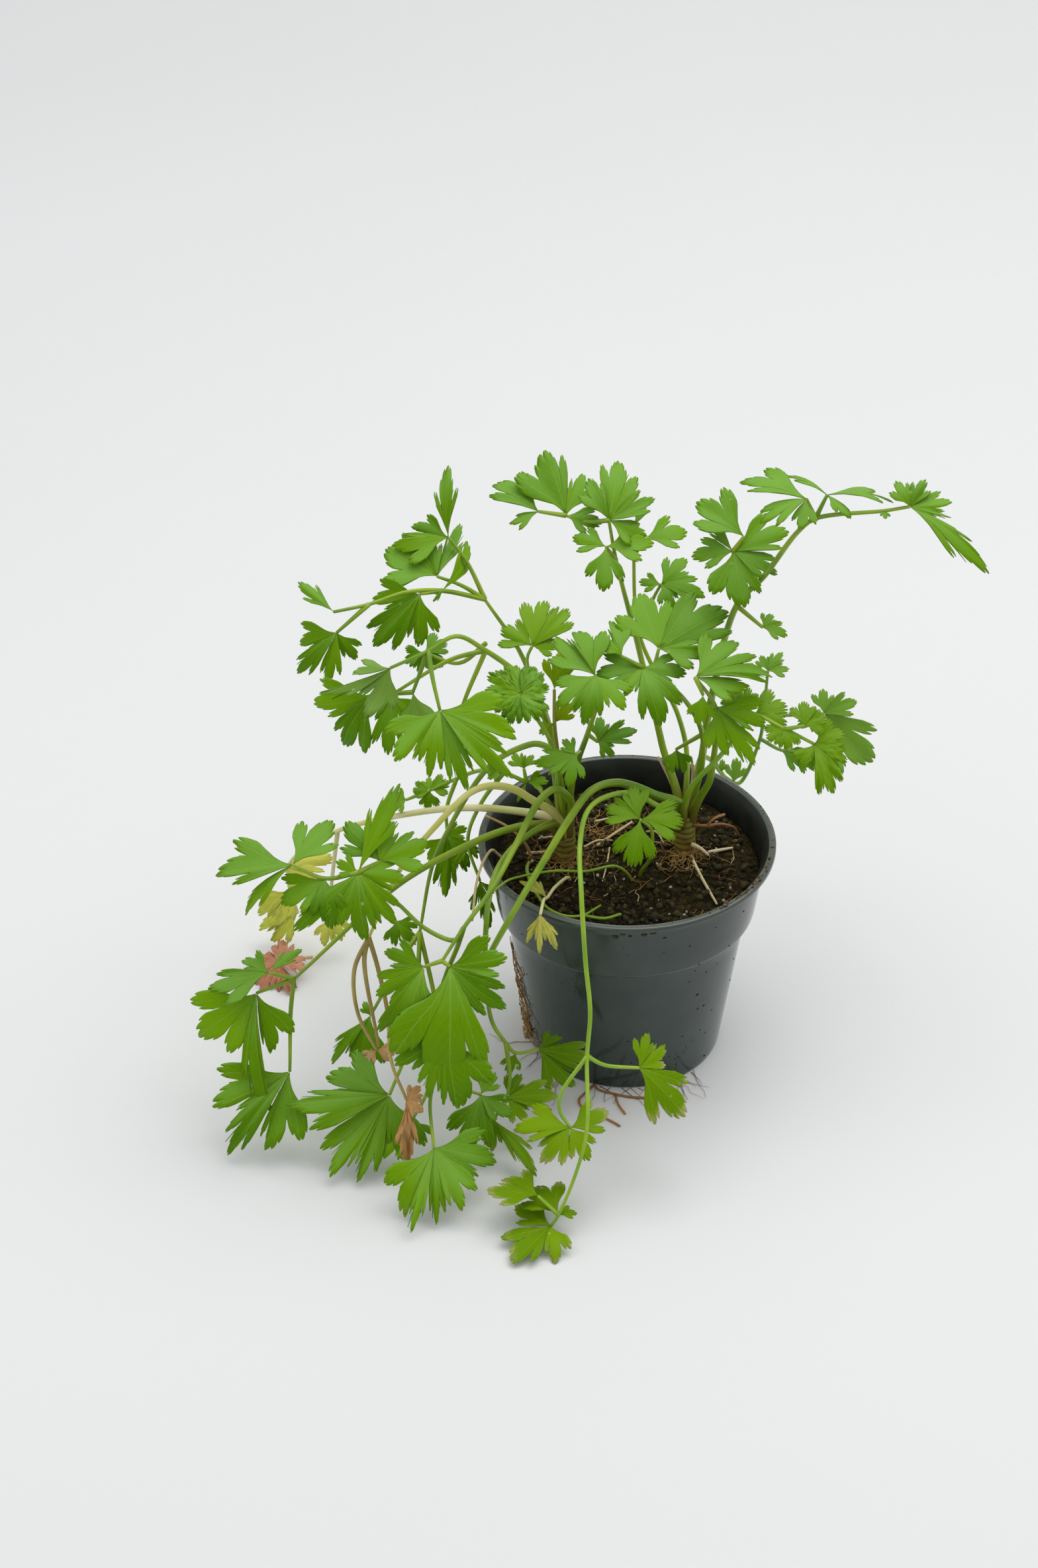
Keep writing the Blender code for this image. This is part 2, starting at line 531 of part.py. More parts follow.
             ("small", -166, 29, 1.5), ("small", -161, 40, 3.5), ("small", -150, 46, 6.5), ("small", -138, 24, 6.5),
             ("small", -144, 15, 1.5), ("small", -156, 17, 2.5)),
        ],
    ),
}

# Looks: colour and roughness
LOOKS = {
    "pot_plastic": ((0.035, 0.045, 0.045), 0.35),
    "potting_soil": ((0.02, 0.013, 0.008), 0.95),
    "stem_base": ((0.3, 0.25, 0.05), 0.6),
    "leaf_green": ((0.05, 0.17, 0.015), 0.45),
    "leaf_bright": ((0.14, 0.35, 0.02), 0.45),
    "leaf_bluish": ((0.09, 0.22, 0.06), 0.5),
    "leaf_yellow": ((0.28, 0.4, 0.03), 0.5),
    "leaf_pale": ((0.5, 0.5, 0.12), 0.55),
    "dry_leaf": ((0.5, 0.28, 0.14), 0.7),
    "straw": ((0.6, 0.45, 0.22), 0.7),
    "root_brown": ((0.32, 0.14, 0.03), 0.7),
}


def clear_scene():
    for old in list(bpy.data.objects):
        bpy.data.objects.remove(old)


def material(name):
    """The named look as a material, made once."""
    if name in bpy.data.materials:
        return bpy.data.materials[name]
    colour, roughness = LOOKS[name]
    made = bpy.data.materials.new(name)
    made.use_nodes = True
    shader = made.node_tree.nodes["Principled BSDF"]
    shader.inputs["Base Color"].default_value = (*colour, 1.0)
    shader.inputs["Roughness"].default_value = roughness
    return made


def mm(point):
    return Vector(point) * MM


def add_mesh(name, bm):
    """The bmesh, its faces turned outwards, as a named object of the scene."""
    bmesh.ops.recalc_face_normals(bm, faces=bm.faces)
    if bm.calc_volume(signed=True) < 0:
        bmesh.ops.reverse_faces(bm, faces=bm.faces)
    mesh = bpy.data.meshes.new(name)
    bm.to_mesh(mesh)
    bm.free()
    obj = bpy.data.objects.new(name, mesh)
    bpy.context.scene.collection.objects.link(obj)
    return obj


def applied(obj):
    """The object's evaluated shape as a bmesh; the object itself is removed."""
    mesh = bpy.data.meshes.new_from_object(obj.evaluated_get(bpy.context.evaluated_depsgraph_get()))
    bpy.data.objects.remove(obj)
    bm = bmesh.new()
    bm.from_mesh(mesh)
    return bm


def turned(name, profile, steps=TURN_STEPS):
    """A profile of (radius, height) in millimetres turned about the Z axis; its ends lie on the axis."""
    mesh = bpy.data.meshes.new(name)
    edges = [(number, number + 1) for number in range(len(profile) - 1)]
    mesh.from_pydata([(radius * MM, 0, height * MM) for radius, height in profile], edges, [])
    guide = bpy.data.objects.new(name, mesh)
    bpy.context.scene.collection.objects.link(guide)
    screw = guide.modifiers.new("turn", "SCREW")
    screw.steps = screw.render_steps = steps
    screw.use_merge_vertices = True
    screw.merge_threshold = 0.00001
    return add_mesh(name, applied(guide))


def rod(name, start, end, radius, sides):
    """A straight rod between two points in millimetres."""
    bm = bmesh.new()
    axis = mm(end) - mm(start)
    made = bmesh.ops.create_cone(
        bm, cap_ends=True, segments=sides, radius1=radius * MM, radius2=radius * MM, depth=axis.length
    )
    turn = axis.to_track_quat("Z", "Y").to_matrix()
    bmesh.ops.rotate(bm, verts=made["verts"], cent=(0, 0, 0), matrix=turn)
    bmesh.ops.translate(bm, verts=made["verts"], vec=mm(start) + axis / 2)
    return add_mesh(name, bm)


def tube(name, points, foot, tip, sides):
    """A stalk through the points, thinning from foot to tip, and reaching a little past the last one."""
    last = Vector(points[-1])
    points = [*points[:-1], last + (last - Vector(points[-2])).normalized() * 1.3]
    curve = bpy.data.curves.new(name, "CURVE")
    curve.dimensions = "3D"
    curve.bevel_depth = MM
    curve.bevel_resolution = (sides - 4) // 2
    curve.use_fill_caps = True
    spline = curve.splines.new("POLY")
    spline.points.add(len(points) - 1)
    for number, (slot, point) in enumerate(zip(spline.points, points)):
        slot.co = (*mm(point), 1)
        slot.radius = foot + (tip - foot) * number / (len(points) - 1)
    guide = bpy.data.objects.new(name, curve)
    bpy.context.scene.collection.objects.link(guide)
    bm = applied(guide)
    bmesh.ops.remove_doubles(bm, verts=bm.verts, dist=0.000001)
    return add_mesh(name, bm)


def outline_of(blades, rng):
    """The rim of a sheet of leaflets round their hub, as (angle, reach, slope) in order of angle."""
    rim = []
    for number, (middle, length, slope, kind) in enumerate(blades):
        before = blades[number - 1]
        after = blades[(number + 1) % len(blades)]
        half_angle, outline = math.radians(OUTLINES[kind][0]), OUTLINES[kind][1]
        half_before = math.radians(OUTLINES[before[3]][0])
        half_after = math.radians(OUTLINES[after[3]][0])
        room_before = (middle - before[0]) % math.tau or math.tau
        room_after = (after[0] - middle) % math.tau or math.tau
        low = min(half_angle, room_before * 0.94 * half_angle / (half_angle + half_before))
        high = min(half_angle, room_after * 0.94 * half_angle / (half_angle + half_after))
        next_low = min(half_after, room_after * 0.94 * half_after / (half_angle + half_after))
        for turn, reach in reversed(outline[1:]):
            rim.append((middle - turn * low, length * reach * rng.uniform(0.95, 1), slope))
        rim.append((middle, length, slope))
        for turn, reach in outline[1:]:
            rim.append((middle + turn * high, length * reach * rng.uniform(0.95, 1), slope))
        gap = room_after - high - next_low
        inner = 0.3 * min(length, after[1]) if gap < math.radians(12) else 0.9 * MM
        notches = max(1, round(gap / math.radians(110)))
        for notch in range(notches):
            rim.append((middle + high + gap * (notch + 0.5) / notches, inner, (slope + after[2]) / 2))
    return rim


def leaf(name, hub, face, tips, rng):
    """The toothed leaflets that share one hub, as one waved sheet; each tip is (kind, x, y, z)."""
    hub, up = mm(hub), Vector(face).normalized()
    east = up.orthogonal().normalized()
    north = up.cross(east)
    blades = []
    for kind, *tip in tips:
        way = mm(tip) - hub
        blades.append((math.atan2(way.dot(north), way.dot(east)), way.length, way.dot(up) / way.length, kind))
    blades.sort()
    bm = bmesh.new()
    verts, lifts = [], []
    for angle, reach, slope in outline_of(blades, rng):
        way = east * math.cos(angle) + north * math.sin(angle)
        verts.append(bm.verts.new(hub + way * reach))
        lifts.append(reach * slope + max(0, reach - 6 * MM) * rng.uniform(-0.06, 0.06))
    # Cut into triangles while flat, so that no triangle is folded over once its corners are lifted
    sheet = bm.faces.new(verts)
    sheet.normal_update()
    bmesh.ops.triangulate(bm, faces=[sheet], ngon_method="BEAUTY")
    for vert, lift in zip(verts, lifts):
        vert.co += up * lift
    grown = bmesh.ops.extrude_face_region(bm, geom=bm.faces[:], use_keep_orig=True)
    moved = [item for item in grown["geom"] if isinstance(item, bmesh.types.BMVert)]
    bmesh.ops.translate(bm, verts=bm.verts, vec=up * -BLADE / 2 * MM)
    bmesh.ops.translate(bm, verts=moved, vec=up * BLADE * MM)
    return add_mesh(name, bm)


def drop_scraps(obj):
    """Keeps the largest connected piece of the mesh: a union can leave loose scraps."""
    bm = bmesh.new()
    bm.from_mesh(obj.data)
    left = set(bm.verts)
    pieces = []
    while left:
        piece, edge = set(), [left.pop()]
        while edge:
            vert = edge.pop()
            piece.add(vert)
            for link in vert.link_edges:
                other = link.other_vert(vert)
                if other in left:
                    left.remove(other)
                    edge.append(other)
        pieces.append(piece)
    pieces.sort(key=len)
    scraps = [vert for piece in pieces[:-1] for vert in piece]
    bmesh.ops.delete(bm, geom=scraps, context="VERTS")
    bm.to_mesh(obj.data)
    bm.free()


def fuse(obj, others, operation="UNION"):
    """One Boolean of the object with all the others, applied; the others are removed."""
    helpers = bpy.data.collections.new(obj.name + "_helpers")
    bpy.context.scene.collection.children.link(helpers)
    for other in others:
        bpy.context.scene.collection.objects.unlink(other)
        helpers.objects.link(other)
    modifier = obj.modifiers.new("fuse", "BOOLEAN")
    modifier.operation = operation
    modifier.solver = "MANIFOLD"
    modifier.operand_type = "COLLECTION"
    modifier.collection = helpers
    bpy.context.view_layer.update()
    mesh = bpy.data.meshes.new_from_object(obj.evaluated_get(bpy.context.evaluated_depsgraph_get()))
    obj.modifiers.clear()
    obj.data = mesh
    for other in others:
        bpy.data.objects.remove(other)
    bpy.data.collections.remove(helpers)
    drop_scraps(obj)
    return obj


def finish(obj, look):
    obj.data.materials.clear()
    obj.data.materials.append(material(look))
    return obj


def wall_radius(height):
    """Outer radius of the pot's wall at a height, in millimetres."""
    step = STEP_DEPTH if height > STEP_HEIGHT else 0
    return BASE_RADIUS + TAPER * height + step


def make_pot():
    """A turned tub with a stepped wall, a lip and drain holes."""
    lip_bottom = POT_HEIGHT - LIP_HEIGHT
    profile = [
        (0, FLOOR),
        (wall_radius(FLOOR) - WALL, FLOOR),
        (wall_radius(STEP_HEIGHT) - WALL, STEP_HEIGHT + WALL),
        (wall_radius(STEP_HEIGHT) + STEP_DEPTH - WALL, STEP_HEIGHT + WALL + 1.5),
        (wall_radius(lip_bottom) - WALL, lip_bottom - 1.5),
        (RIM_RADIUS - LIP_WIDTH, POT_HEIGHT),
        (RIM_RADIUS - 0.5, POT_HEIGHT),
        (RIM_RADIUS, POT_HEIGHT - 0.5),
        (RIM_RADIUS, lip_bottom),
        (wall_radius(lip_bottom), lip_bottom),
        (wall_radius(STEP_HEIGHT) + STEP_DEPTH, STEP_HEIGHT + 1),
        (wall_radius(STEP_HEIGHT), STEP_HEIGHT - 0.5),
        (BASE_RADIUS, 0),
        (0, 0),
    ]
    pot = turned("pot", profile)
    drains = []
    for number in range(DRAIN_HOLES):
        angle = math.tau * (number + 0.5) / DRAIN_HOLES
        x, y = DRAIN_RING * math.cos(angle), DRAIN_RING * math.sin(angle)
        drains.append(rod("drain", (x, y, -2), (x, y, FLOOR + 2), DRAIN_RADIUS, 8))
    finish(fuse(pot, drains, "DIFFERENCE"), "pot_plastic")


def make_soil():
    """The soil fills the pot a little clear of its wall, with a plain hole where each stem and crown stands."""
    edge = wall_radius(SOIL_TOP) - WALL - 1
    profile = [
        (0, FLOOR + GAP),
        (BASE_RADIUS - WALL - 2, FLOOR + GAP),
        (wall_radius(FLOOR + 2) - WALL - GAP, FLOOR + 2),
        (wall_radius(STEP_HEIGHT) - WALL - GAP - 0.1, STEP_HEIGHT),
        (edge * 0.99, SOIL_TOP - 1.2),
        (edge * 0.86, SOIL_TOP + 0.4),
        (edge * 0.6, SOIL_TOP - 0.4),
        (edge * 0.25, SOIL_TOP + 0.3),
        (0, SOIL_TOP + 0.2),
    ]
    soil = turned("soil", profile)
    bottom = SOIL_TOP - FOOT_DEPTH
    feet = [(*CROWN_LEFT, 4.6, 12), (*CROWN_RIGHT, 4.6, 12)]
    for _, thickness, stalks, _ in STEMS.values():
        x, y, z = stalks[0][0]
        if z == bottom:
            feet.append((x, y, thickness + 0.1, 5))
    holes = []
    for x, y, radius, sides in feet:
        holes.append(rod("hole", (x, y, bottom - GAP), (x, y, SOIL_TOP + 6), radius + GAP, sides))
    finish(fuse(soil, holes, "DIFFERENCE"), "potting_soil")


def make_crown(name, centre):
    """A ringed, swollen stem base, sunk in the soil."""
    profile = [(0, SOIL_TOP - FOOT_DEPTH), *CROWN_BANDS, (0, CROWN_BANDS[-1][1] + 0.5)]
    crown = turned(name, profile, steps=12)
    bm = bmesh.new()
    bm.from_mesh(crown.data)
    bmesh.ops.translate(bm, verts=bm.verts, vec=mm((*centre, 0)))
    bm.to_mesh(crown.data)
    bm.free()
    finish(crown, "stem_base")


def make_stem(name, look, thickness, stalks, leaves):
    """A stem node: its stalks and leaflets fused into one body."""
    rng = random.Random(name)
    body = tube(name, stalks[0], thickness, min(thickness, STALK_TIP), 6 if thickness > 1.55 else 4)
    others = []
    for points in stalks[1:]:
        others.append(tube("branch", points, min(thickness, BRANCH), min(thickness, STALK_TIP), 4))
    for hub, face, *tips in leaves:
        others.append(leaf("blade", hub, face, tips, rng))
    if others:
        fuse(body, others)
    finish(body, look)


def main():
    clear_scene()
    make_pot()
    make_soil()
    make_crown("crown_left", CROWN_LEFT)
    make_crown("crown_right", CROWN_RIGHT)
    for name, (look, thickness, stalks, leaves) in STEMS.items():
        make_stem(name, look, thickness, stalks, leaves)


main()
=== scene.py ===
"""Looks for the potted herb: fine leaves, stalks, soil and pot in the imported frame, and a pale studio."""

import math
import random

import bmesh
import bpy
import numpy as np
from mathutils import Matrix, Vector, noise


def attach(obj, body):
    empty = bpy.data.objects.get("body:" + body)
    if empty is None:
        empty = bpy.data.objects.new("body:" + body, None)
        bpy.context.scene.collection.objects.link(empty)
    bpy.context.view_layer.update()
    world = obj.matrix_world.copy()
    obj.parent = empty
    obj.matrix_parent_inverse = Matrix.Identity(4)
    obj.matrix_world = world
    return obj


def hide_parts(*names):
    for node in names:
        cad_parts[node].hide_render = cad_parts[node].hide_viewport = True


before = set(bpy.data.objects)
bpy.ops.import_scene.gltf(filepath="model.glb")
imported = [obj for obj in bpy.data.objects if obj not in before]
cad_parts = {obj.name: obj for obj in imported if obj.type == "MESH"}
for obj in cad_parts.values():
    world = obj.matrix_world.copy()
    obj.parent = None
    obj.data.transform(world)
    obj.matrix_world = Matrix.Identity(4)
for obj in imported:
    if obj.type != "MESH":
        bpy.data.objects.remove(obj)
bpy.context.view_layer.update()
MM = 0.001

# The pot's and the soil's sizes, as in part.py, in millimetres
RIM_RADIUS = 60.0
POT_HEIGHT = 98.0
BASE_RADIUS = 40.0
LIP_HEIGHT = 2.6
LIP_WIDTH = 2.7
STEP_HEIGHT = 67.0
STEP_DEPTH = 3.1
TAPER = 0.14
WALL = 1.4
FLOOR = 1.6
DRAIN_HOLES = 6
DRAIN_RADIUS = 4.0
DRAIN_RING = 30.0
SOIL_TOP = 86.0
CROWN_LEFT = (-25.0, 2.0)
CROWN_RIGHT = (23.5, 9.0)
# A stem goes straight up in its hole from the foot to the collar
STEM_FOOT = 78
STEM_COLLAR = 87
# A stalk this near to a crown grows from it: it is seen only above a height or past a length, then comes out
# of the crown over a stretch, from this share of its own distance
CROWN_REACH = 14
HIDDEN_HEIGHT = 97
HIDDEN_LENGTH = 21
GATHERED_LENGTH = 28
GATHERED_SHARE = 0.34
# Stalks: a side stalk's greatest radius, the radius at the tip, the same with no leaf, and the rings' gap
SIDE_STALK = 1.0
STALK_TIP = 0.62
BARE_TIP = 0.45
STALK_STEP = 2.2
# A side stalk's lengths start here, beyond the colour of the foot
SIDE_START = 60

# The camera, solved on the pot's circles in the photograph: place in millimetres, and the ways it looks
EYE = (0.0, -907.34, 755.97)
FORWARD = (-0.03909, 0.81977, -0.57136)
RIGHT = (0.99912, 0.04095, -0.0096)
UP = (-0.01553, 0.57123, 0.82064)
LENS = 63.85

# Leaflets. Each kind: half angle in degrees, lobes as (place, half width, reach, teeth, fall), how deep the
# cuts go, how far the sides reach and how deep the teeth are
KINDS = {
    "broad": (50, ((0, 0.42, 1, 5, 0.26), (0.7, 0.3, 0.88, 4, 0.27)), 0.54, 0.36, 0.062),
    "cut": (42, ((0, 0.38, 1, 5, 0.28), (0.68, 0.32, 0.85, 4, 0.28)), 0.4, 0.33, 0.068),
    "mid": (40, ((0, 0.42, 1, 5, 0.28), (0.71, 0.29, 0.83, 3, 0.27)), 0.52, 0.34, 0.075),
    "small": (45, ((0, 0.42, 1, 3, 0.25), (0.71, 0.29, 0.83, 3, 0.25)), 0.56, 0.34, 0.085),
    "fan": (52, ((0, 0.37, 1, 5, 0.12), (0.69, 0.33, 0.93, 5, 0.18)), 0.52, 0.48, 0.16),
    "clover": (40, ((0, 0.4, 1, 5, 0.12), (0.7, 0.3, 0.92, 5, 0.18)), 0.5, 0.46, 0.13),
    "narrow": (18, ((0, 0.5, 1, 5, 0.35), (0.75, 0.25, 0.7, 2, 0.25)), 0.66, 0.4, 0.09),
}
# A tooth's edge: the share of the way from its start to its peak, then from there to its end, and its height
TOOTH_RISE = ((0, 0), (0.4, 0.68), (0.75, 0.95), (1, 1))
TOOTH_FALL = ((0.4, 0.86), (0.8, 0.36))
# The teeth take up this much of a lobe, whose edge falls away to the sides with this power
TOOTHED = 0.93
LOBE_POWER = 1.7
# How far out from the hub a leaflet's rows of vertices lie
ROWS = np.array((0.03, 0.17, 0.32, 0.47, 0.61, 0.75, 0.88, 1.0))
LEAF_THICKNESS = 0.3
# Lower over the table than this a leaflet is pressed flat
LEAF_LOWEST = 0.5
# How a leaflet bends, from the least to the greatest: folded along its midrib, sometimes backward, curled
# across, drooping at its tip, swept to a side, and ruffled at its edge
FOLD, BACKWARD, BACKWARD_SHARE = (0.02, 0.22), -0.6, 0.3
CURL = (-0.3, 0.15)
DROOP = (-0.02, 0.24)
SWEEP = (-0.09, 0.09)
RUFFLE = (0.012, 0.04)
# Neighbouring leaflets overlap a little
OVERLAP = 1.06
# What the tone has added to it on a leaflet's underside
UNDERSIDE = 2.0
# How much the leaflets crumple, by look or by stem, where it isn't 1
CRUMPLE = {
    "dry_leaf": 3.0, "leaf_pale": 1.8, "stem_curly": 2.0, "stem_right_small": 1.5, "stem_rim_left": 1.5,
}


# Meshes
def add_object(name, verts, faces):
    """A smooth mesh object from millimetre points."""
    mesh = bpy.data.meshes.new(name)
    mesh.from_pydata((np.asarray(verts) * MM).tolist(), [], faces)
    mesh.polygons.foreach_set("use_smooth", [True] * len(mesh.polygons))
    obj = bpy.data.objects.new(name, mesh)
    bpy.context.scene.collection.objects.link(obj)
    return obj


def ring_faces(rings, steps, first=0, inward=False):
    """The quads between rings of vertices that follow each other, from vertex number first on."""
    faces = []
    for ring in range(rings - 1):
        low = first + ring * steps
        for number in range(steps):
            after = (number + 1) % steps
            quad = (low + number, low + after, low + steps + after, low + steps + number)
            faces.append((quad[0], *quad[:0:-1]) if inward else quad)
    return faces


class Sheets:
    """Gathers the surfaces of one piece, with each vertex's leaf UV, tone and nearness to a tooth's tip."""

    def __init__(self):
        self.verts, self.faces, self.uvs, self.tones, self.peaks, self.slots = [], [], [], [], [], []
        self.count = 0

    def add(self, verts, faces, slot=0, uvs=None, tones=None, peaks=None):
        """Adds vertices and faces with one material number; values that aren't given are 0."""
        count = len(verts)
        self.verts.append(verts)
        self.uvs.append(np.zeros((count, 2)) if uvs is None else uvs)
        self.tones.append(np.zeros(count) if tones is None else tones)
        self.peaks.append(np.zeros(count) if peaks is None else peaks)
        self.faces += [tuple(corner + self.count for corner in face) for face in faces]
        self.slots += [slot] * len(faces)
        self.count += count

    def finish(self, name, materials):
        """The piece as a mesh object."""
        obj = add_object(name, np.concatenate(self.verts), self.faces)
        mesh = obj.data
        corners = np.zeros(len(mesh.loops), np.int32)
        mesh.loops.foreach_get("vertex_index", corners)
        uvs = np.concatenate(self.uvs).astype(np.float32)[corners].ravel()
        mesh.uv_layers.new(name="leaf").data.foreach_set("uv", uvs)
        for key, parts in (("tone", self.tones), ("peak", self.peaks)):
            values = np.concatenate(parts).astype(np.float32)
            if values.any():
                mesh.attributes.new(key, "FLOAT", "POINT").data.foreach_set("value", values)
        for material in materials:
            mesh.materials.append(material)
        mesh.polygons.foreach_set("material_index", self.slots)
        return obj


def between(t, low, high, first, second):
    """The point at t on the line that is at first for t = low and at second for t = high."""
    return ((high - t) * first + (t - low) * second) / (high - low)


def smooth_path(points, step):
    """A Catmull-Rom curve through the points, sampled about every step millimetres, and its length so far."""
    points = np.asarray(points, float)
    ends = np.vstack([2 * points[0] - points[1], points, 2 * points[-1] - points[-2]])
    samples = []
    for number in range(len(points) - 1):
        near = ends[number : number + 4]
        gaps = [np.linalg.norm(after - before) for before, after in zip(near, near[1:])]
        knots = np.cumsum([0] + [max(1e-6, gap) ** 0.5 for gap in gaps])
        for t in np.linspace(knots[1], knots[2], max(2, int(round(gaps[1] / step))), endpoint=False):
            rungs = [between(t, knots[i], knots[i + 1], near[i], near[i + 1]) for i in range(3)]
            rungs = [between(t, knots[i], knots[i + 2], rungs[i], rungs[i + 1]) for i in range(2)]
            samples.append(between(t, knots[1], knots[2], *rungs))
    samples = np.array([*samples, points[-1]])
    along = np.concatenate([[0], np.cumsum(np.linalg.norm(np.diff(samples, axis=0), axis=1))])
    return samples, along


def tube(path, radii, sides, ridges=0.0, phase=0.0):
    """Vertices and faces of a tube along a path, with domed ends; ridges is how deep its five grooves are."""
    ways = np.gradient(path, axis=0)
    ways /= np.linalg.norm(ways, axis=1)[:, None]
    side = np.cross(ways[0], (0.3, 0.5, 0.8))
    turn = np.arange(sides) / sides * math.tau
    verts = [path[0] - ways[0] * radii[0] * 0.5]
    for way, centre, radius in zip(ways, path, radii):
        side = side - way * side.dot(way)
        side /= np.linalg.norm(side)
        other = np.cross(way, side)
        reach = radius * (1 + ridges * np.cos(turn * 5 + phase))
        verts += list(centre + np.outer(np.cos(turn) * reach, side) + np.outer(np.sin(turn) * reach, other))
    verts.append(path[-1] + ways[-1] * radii[-1] * 0.7)
    faces = ring_faces(len(path), sides, 1)
    last = 1 + (len(path) - 1) * sides
    for number in range(sides):
        after = (number + 1) % sides
        faces.append((0, 1 + after, 1 + number))
        faces.append((len(verts) - 1, last + number, last + after))
    return np.array(verts), faces


def ball():
    """The vertices and faces of a small round ball of radius 1."""
    bm = bmesh.new()
    bmesh.ops.create_icosphere(bm, subdivisions=2, radius=1)
    points = np.array([vert.co[:] for vert in bm.verts])
    faces = [tuple(vert.index for vert in face.verts) for face in bm.faces]
    bm.free()
    return points, faces


def bumps(points, depth, scale, shift):
    """A factor for each point of a ball, that makes it lumpy."""
    lumps = [1 + depth * noise.noise(Vector(point) * scale + Vector(shift)) for point in points]
    return np.array(lumps)[:, None]


# Leaves
def outline(kind, squeeze, rng):
    """A leaflet's edge: places across it, -1 to 1, its reach at each, and whether each is a tooth's tip."""
    _, lobes, cut, side_reach, deep = KINDS[kind]
    cut = 1 - (1 - cut) * squeeze
    deep *= 0.6 + 0.4 * squeeze
    lobes = [(-centre, *rest) for centre, *rest in reversed(lobes[1:])] + list(lobes)
    points = []
    for number, (centre, half, top, teeth, fall) in enumerate(lobes):
        top *= 1 + rng.uniform(-0.05, 0.05) * (centre != 0)
        mirror = -1 if centre < 0 else 1
        start = (side_reach if number == 0 else cut) * top
        stop = (side_reach if number == len(lobes) - 1 else cut) * top
        points.append((centre - half, start, 0))
        shifts = [0, *(rng.uniform(-0.09, 0.09) for _ in range(teeth - 1)), 0]
        edges = np.linspace(-TOOTHED, TOOTHED, teeth + 1) + np.array(shifts)
        for before, after in zip(edges[:-1], edges[1:]):
            middle = (before + after) / 2
            lean = np.sign(round(middle - 0.12 * mirror * (centre != 0), 2))
            peak = middle - 0.24 * (after - before) * lean
            size = deep * (after - before) / 0.4 * rng.uniform(0.75, 1.25)
            tooth = [(before + (peak - before) * share, rise) for share, rise in TOOTH_RISE]
            tooth += [(peak + (after - peak) * share, rise) for share, rise in TOOTH_FALL]
            for t, rise in tooth:
                reach = top * (1 - fall * abs(t) ** LOBE_POWER - size * (1 - rise))
                points.append((centre + half * t, reach, rise == 1))
        points.append((centre + half * TOOTHED, top * (1 - fall * TOOTHED**LOBE_POWER - deep), 0))
        if number == len(lobes) - 1:
            points.append((centre + half, stop, 0))
    return [np.array(column, float) for column in zip(*sorted(points))]


def shell_faces(rows, columns, flip):
    """The faces of a closed shell: a grid of vertices, the same on the underside, and the rim between."""
    size = rows * columns
    faces = []
    for row in range(rows - 1):
        for column in range(columns - 1):
            a = row * columns + column
            quad = (a, a + columns, a + columns + 1, a + 1)
            if flip:
                quad = quad[::-1]
            faces.append(quad)
            faces.append(tuple(corner + size for corner in quad[::-1]))
    rim = [row * columns for row in range(rows)]
    rim += [(rows - 1) * columns + column for column in range(1, columns)]
    rim += [row * columns + columns - 1 for row in range(rows - 2, -1, -1)]
    rim += [column for column in range(columns - 2, 0, -1)]
    for a, b in zip(rim, rim[1:] + rim[:1]):
        quad = (a, b, b + size, a + size)
        faces.append(quad if flip else quad[::-1])
    return faces


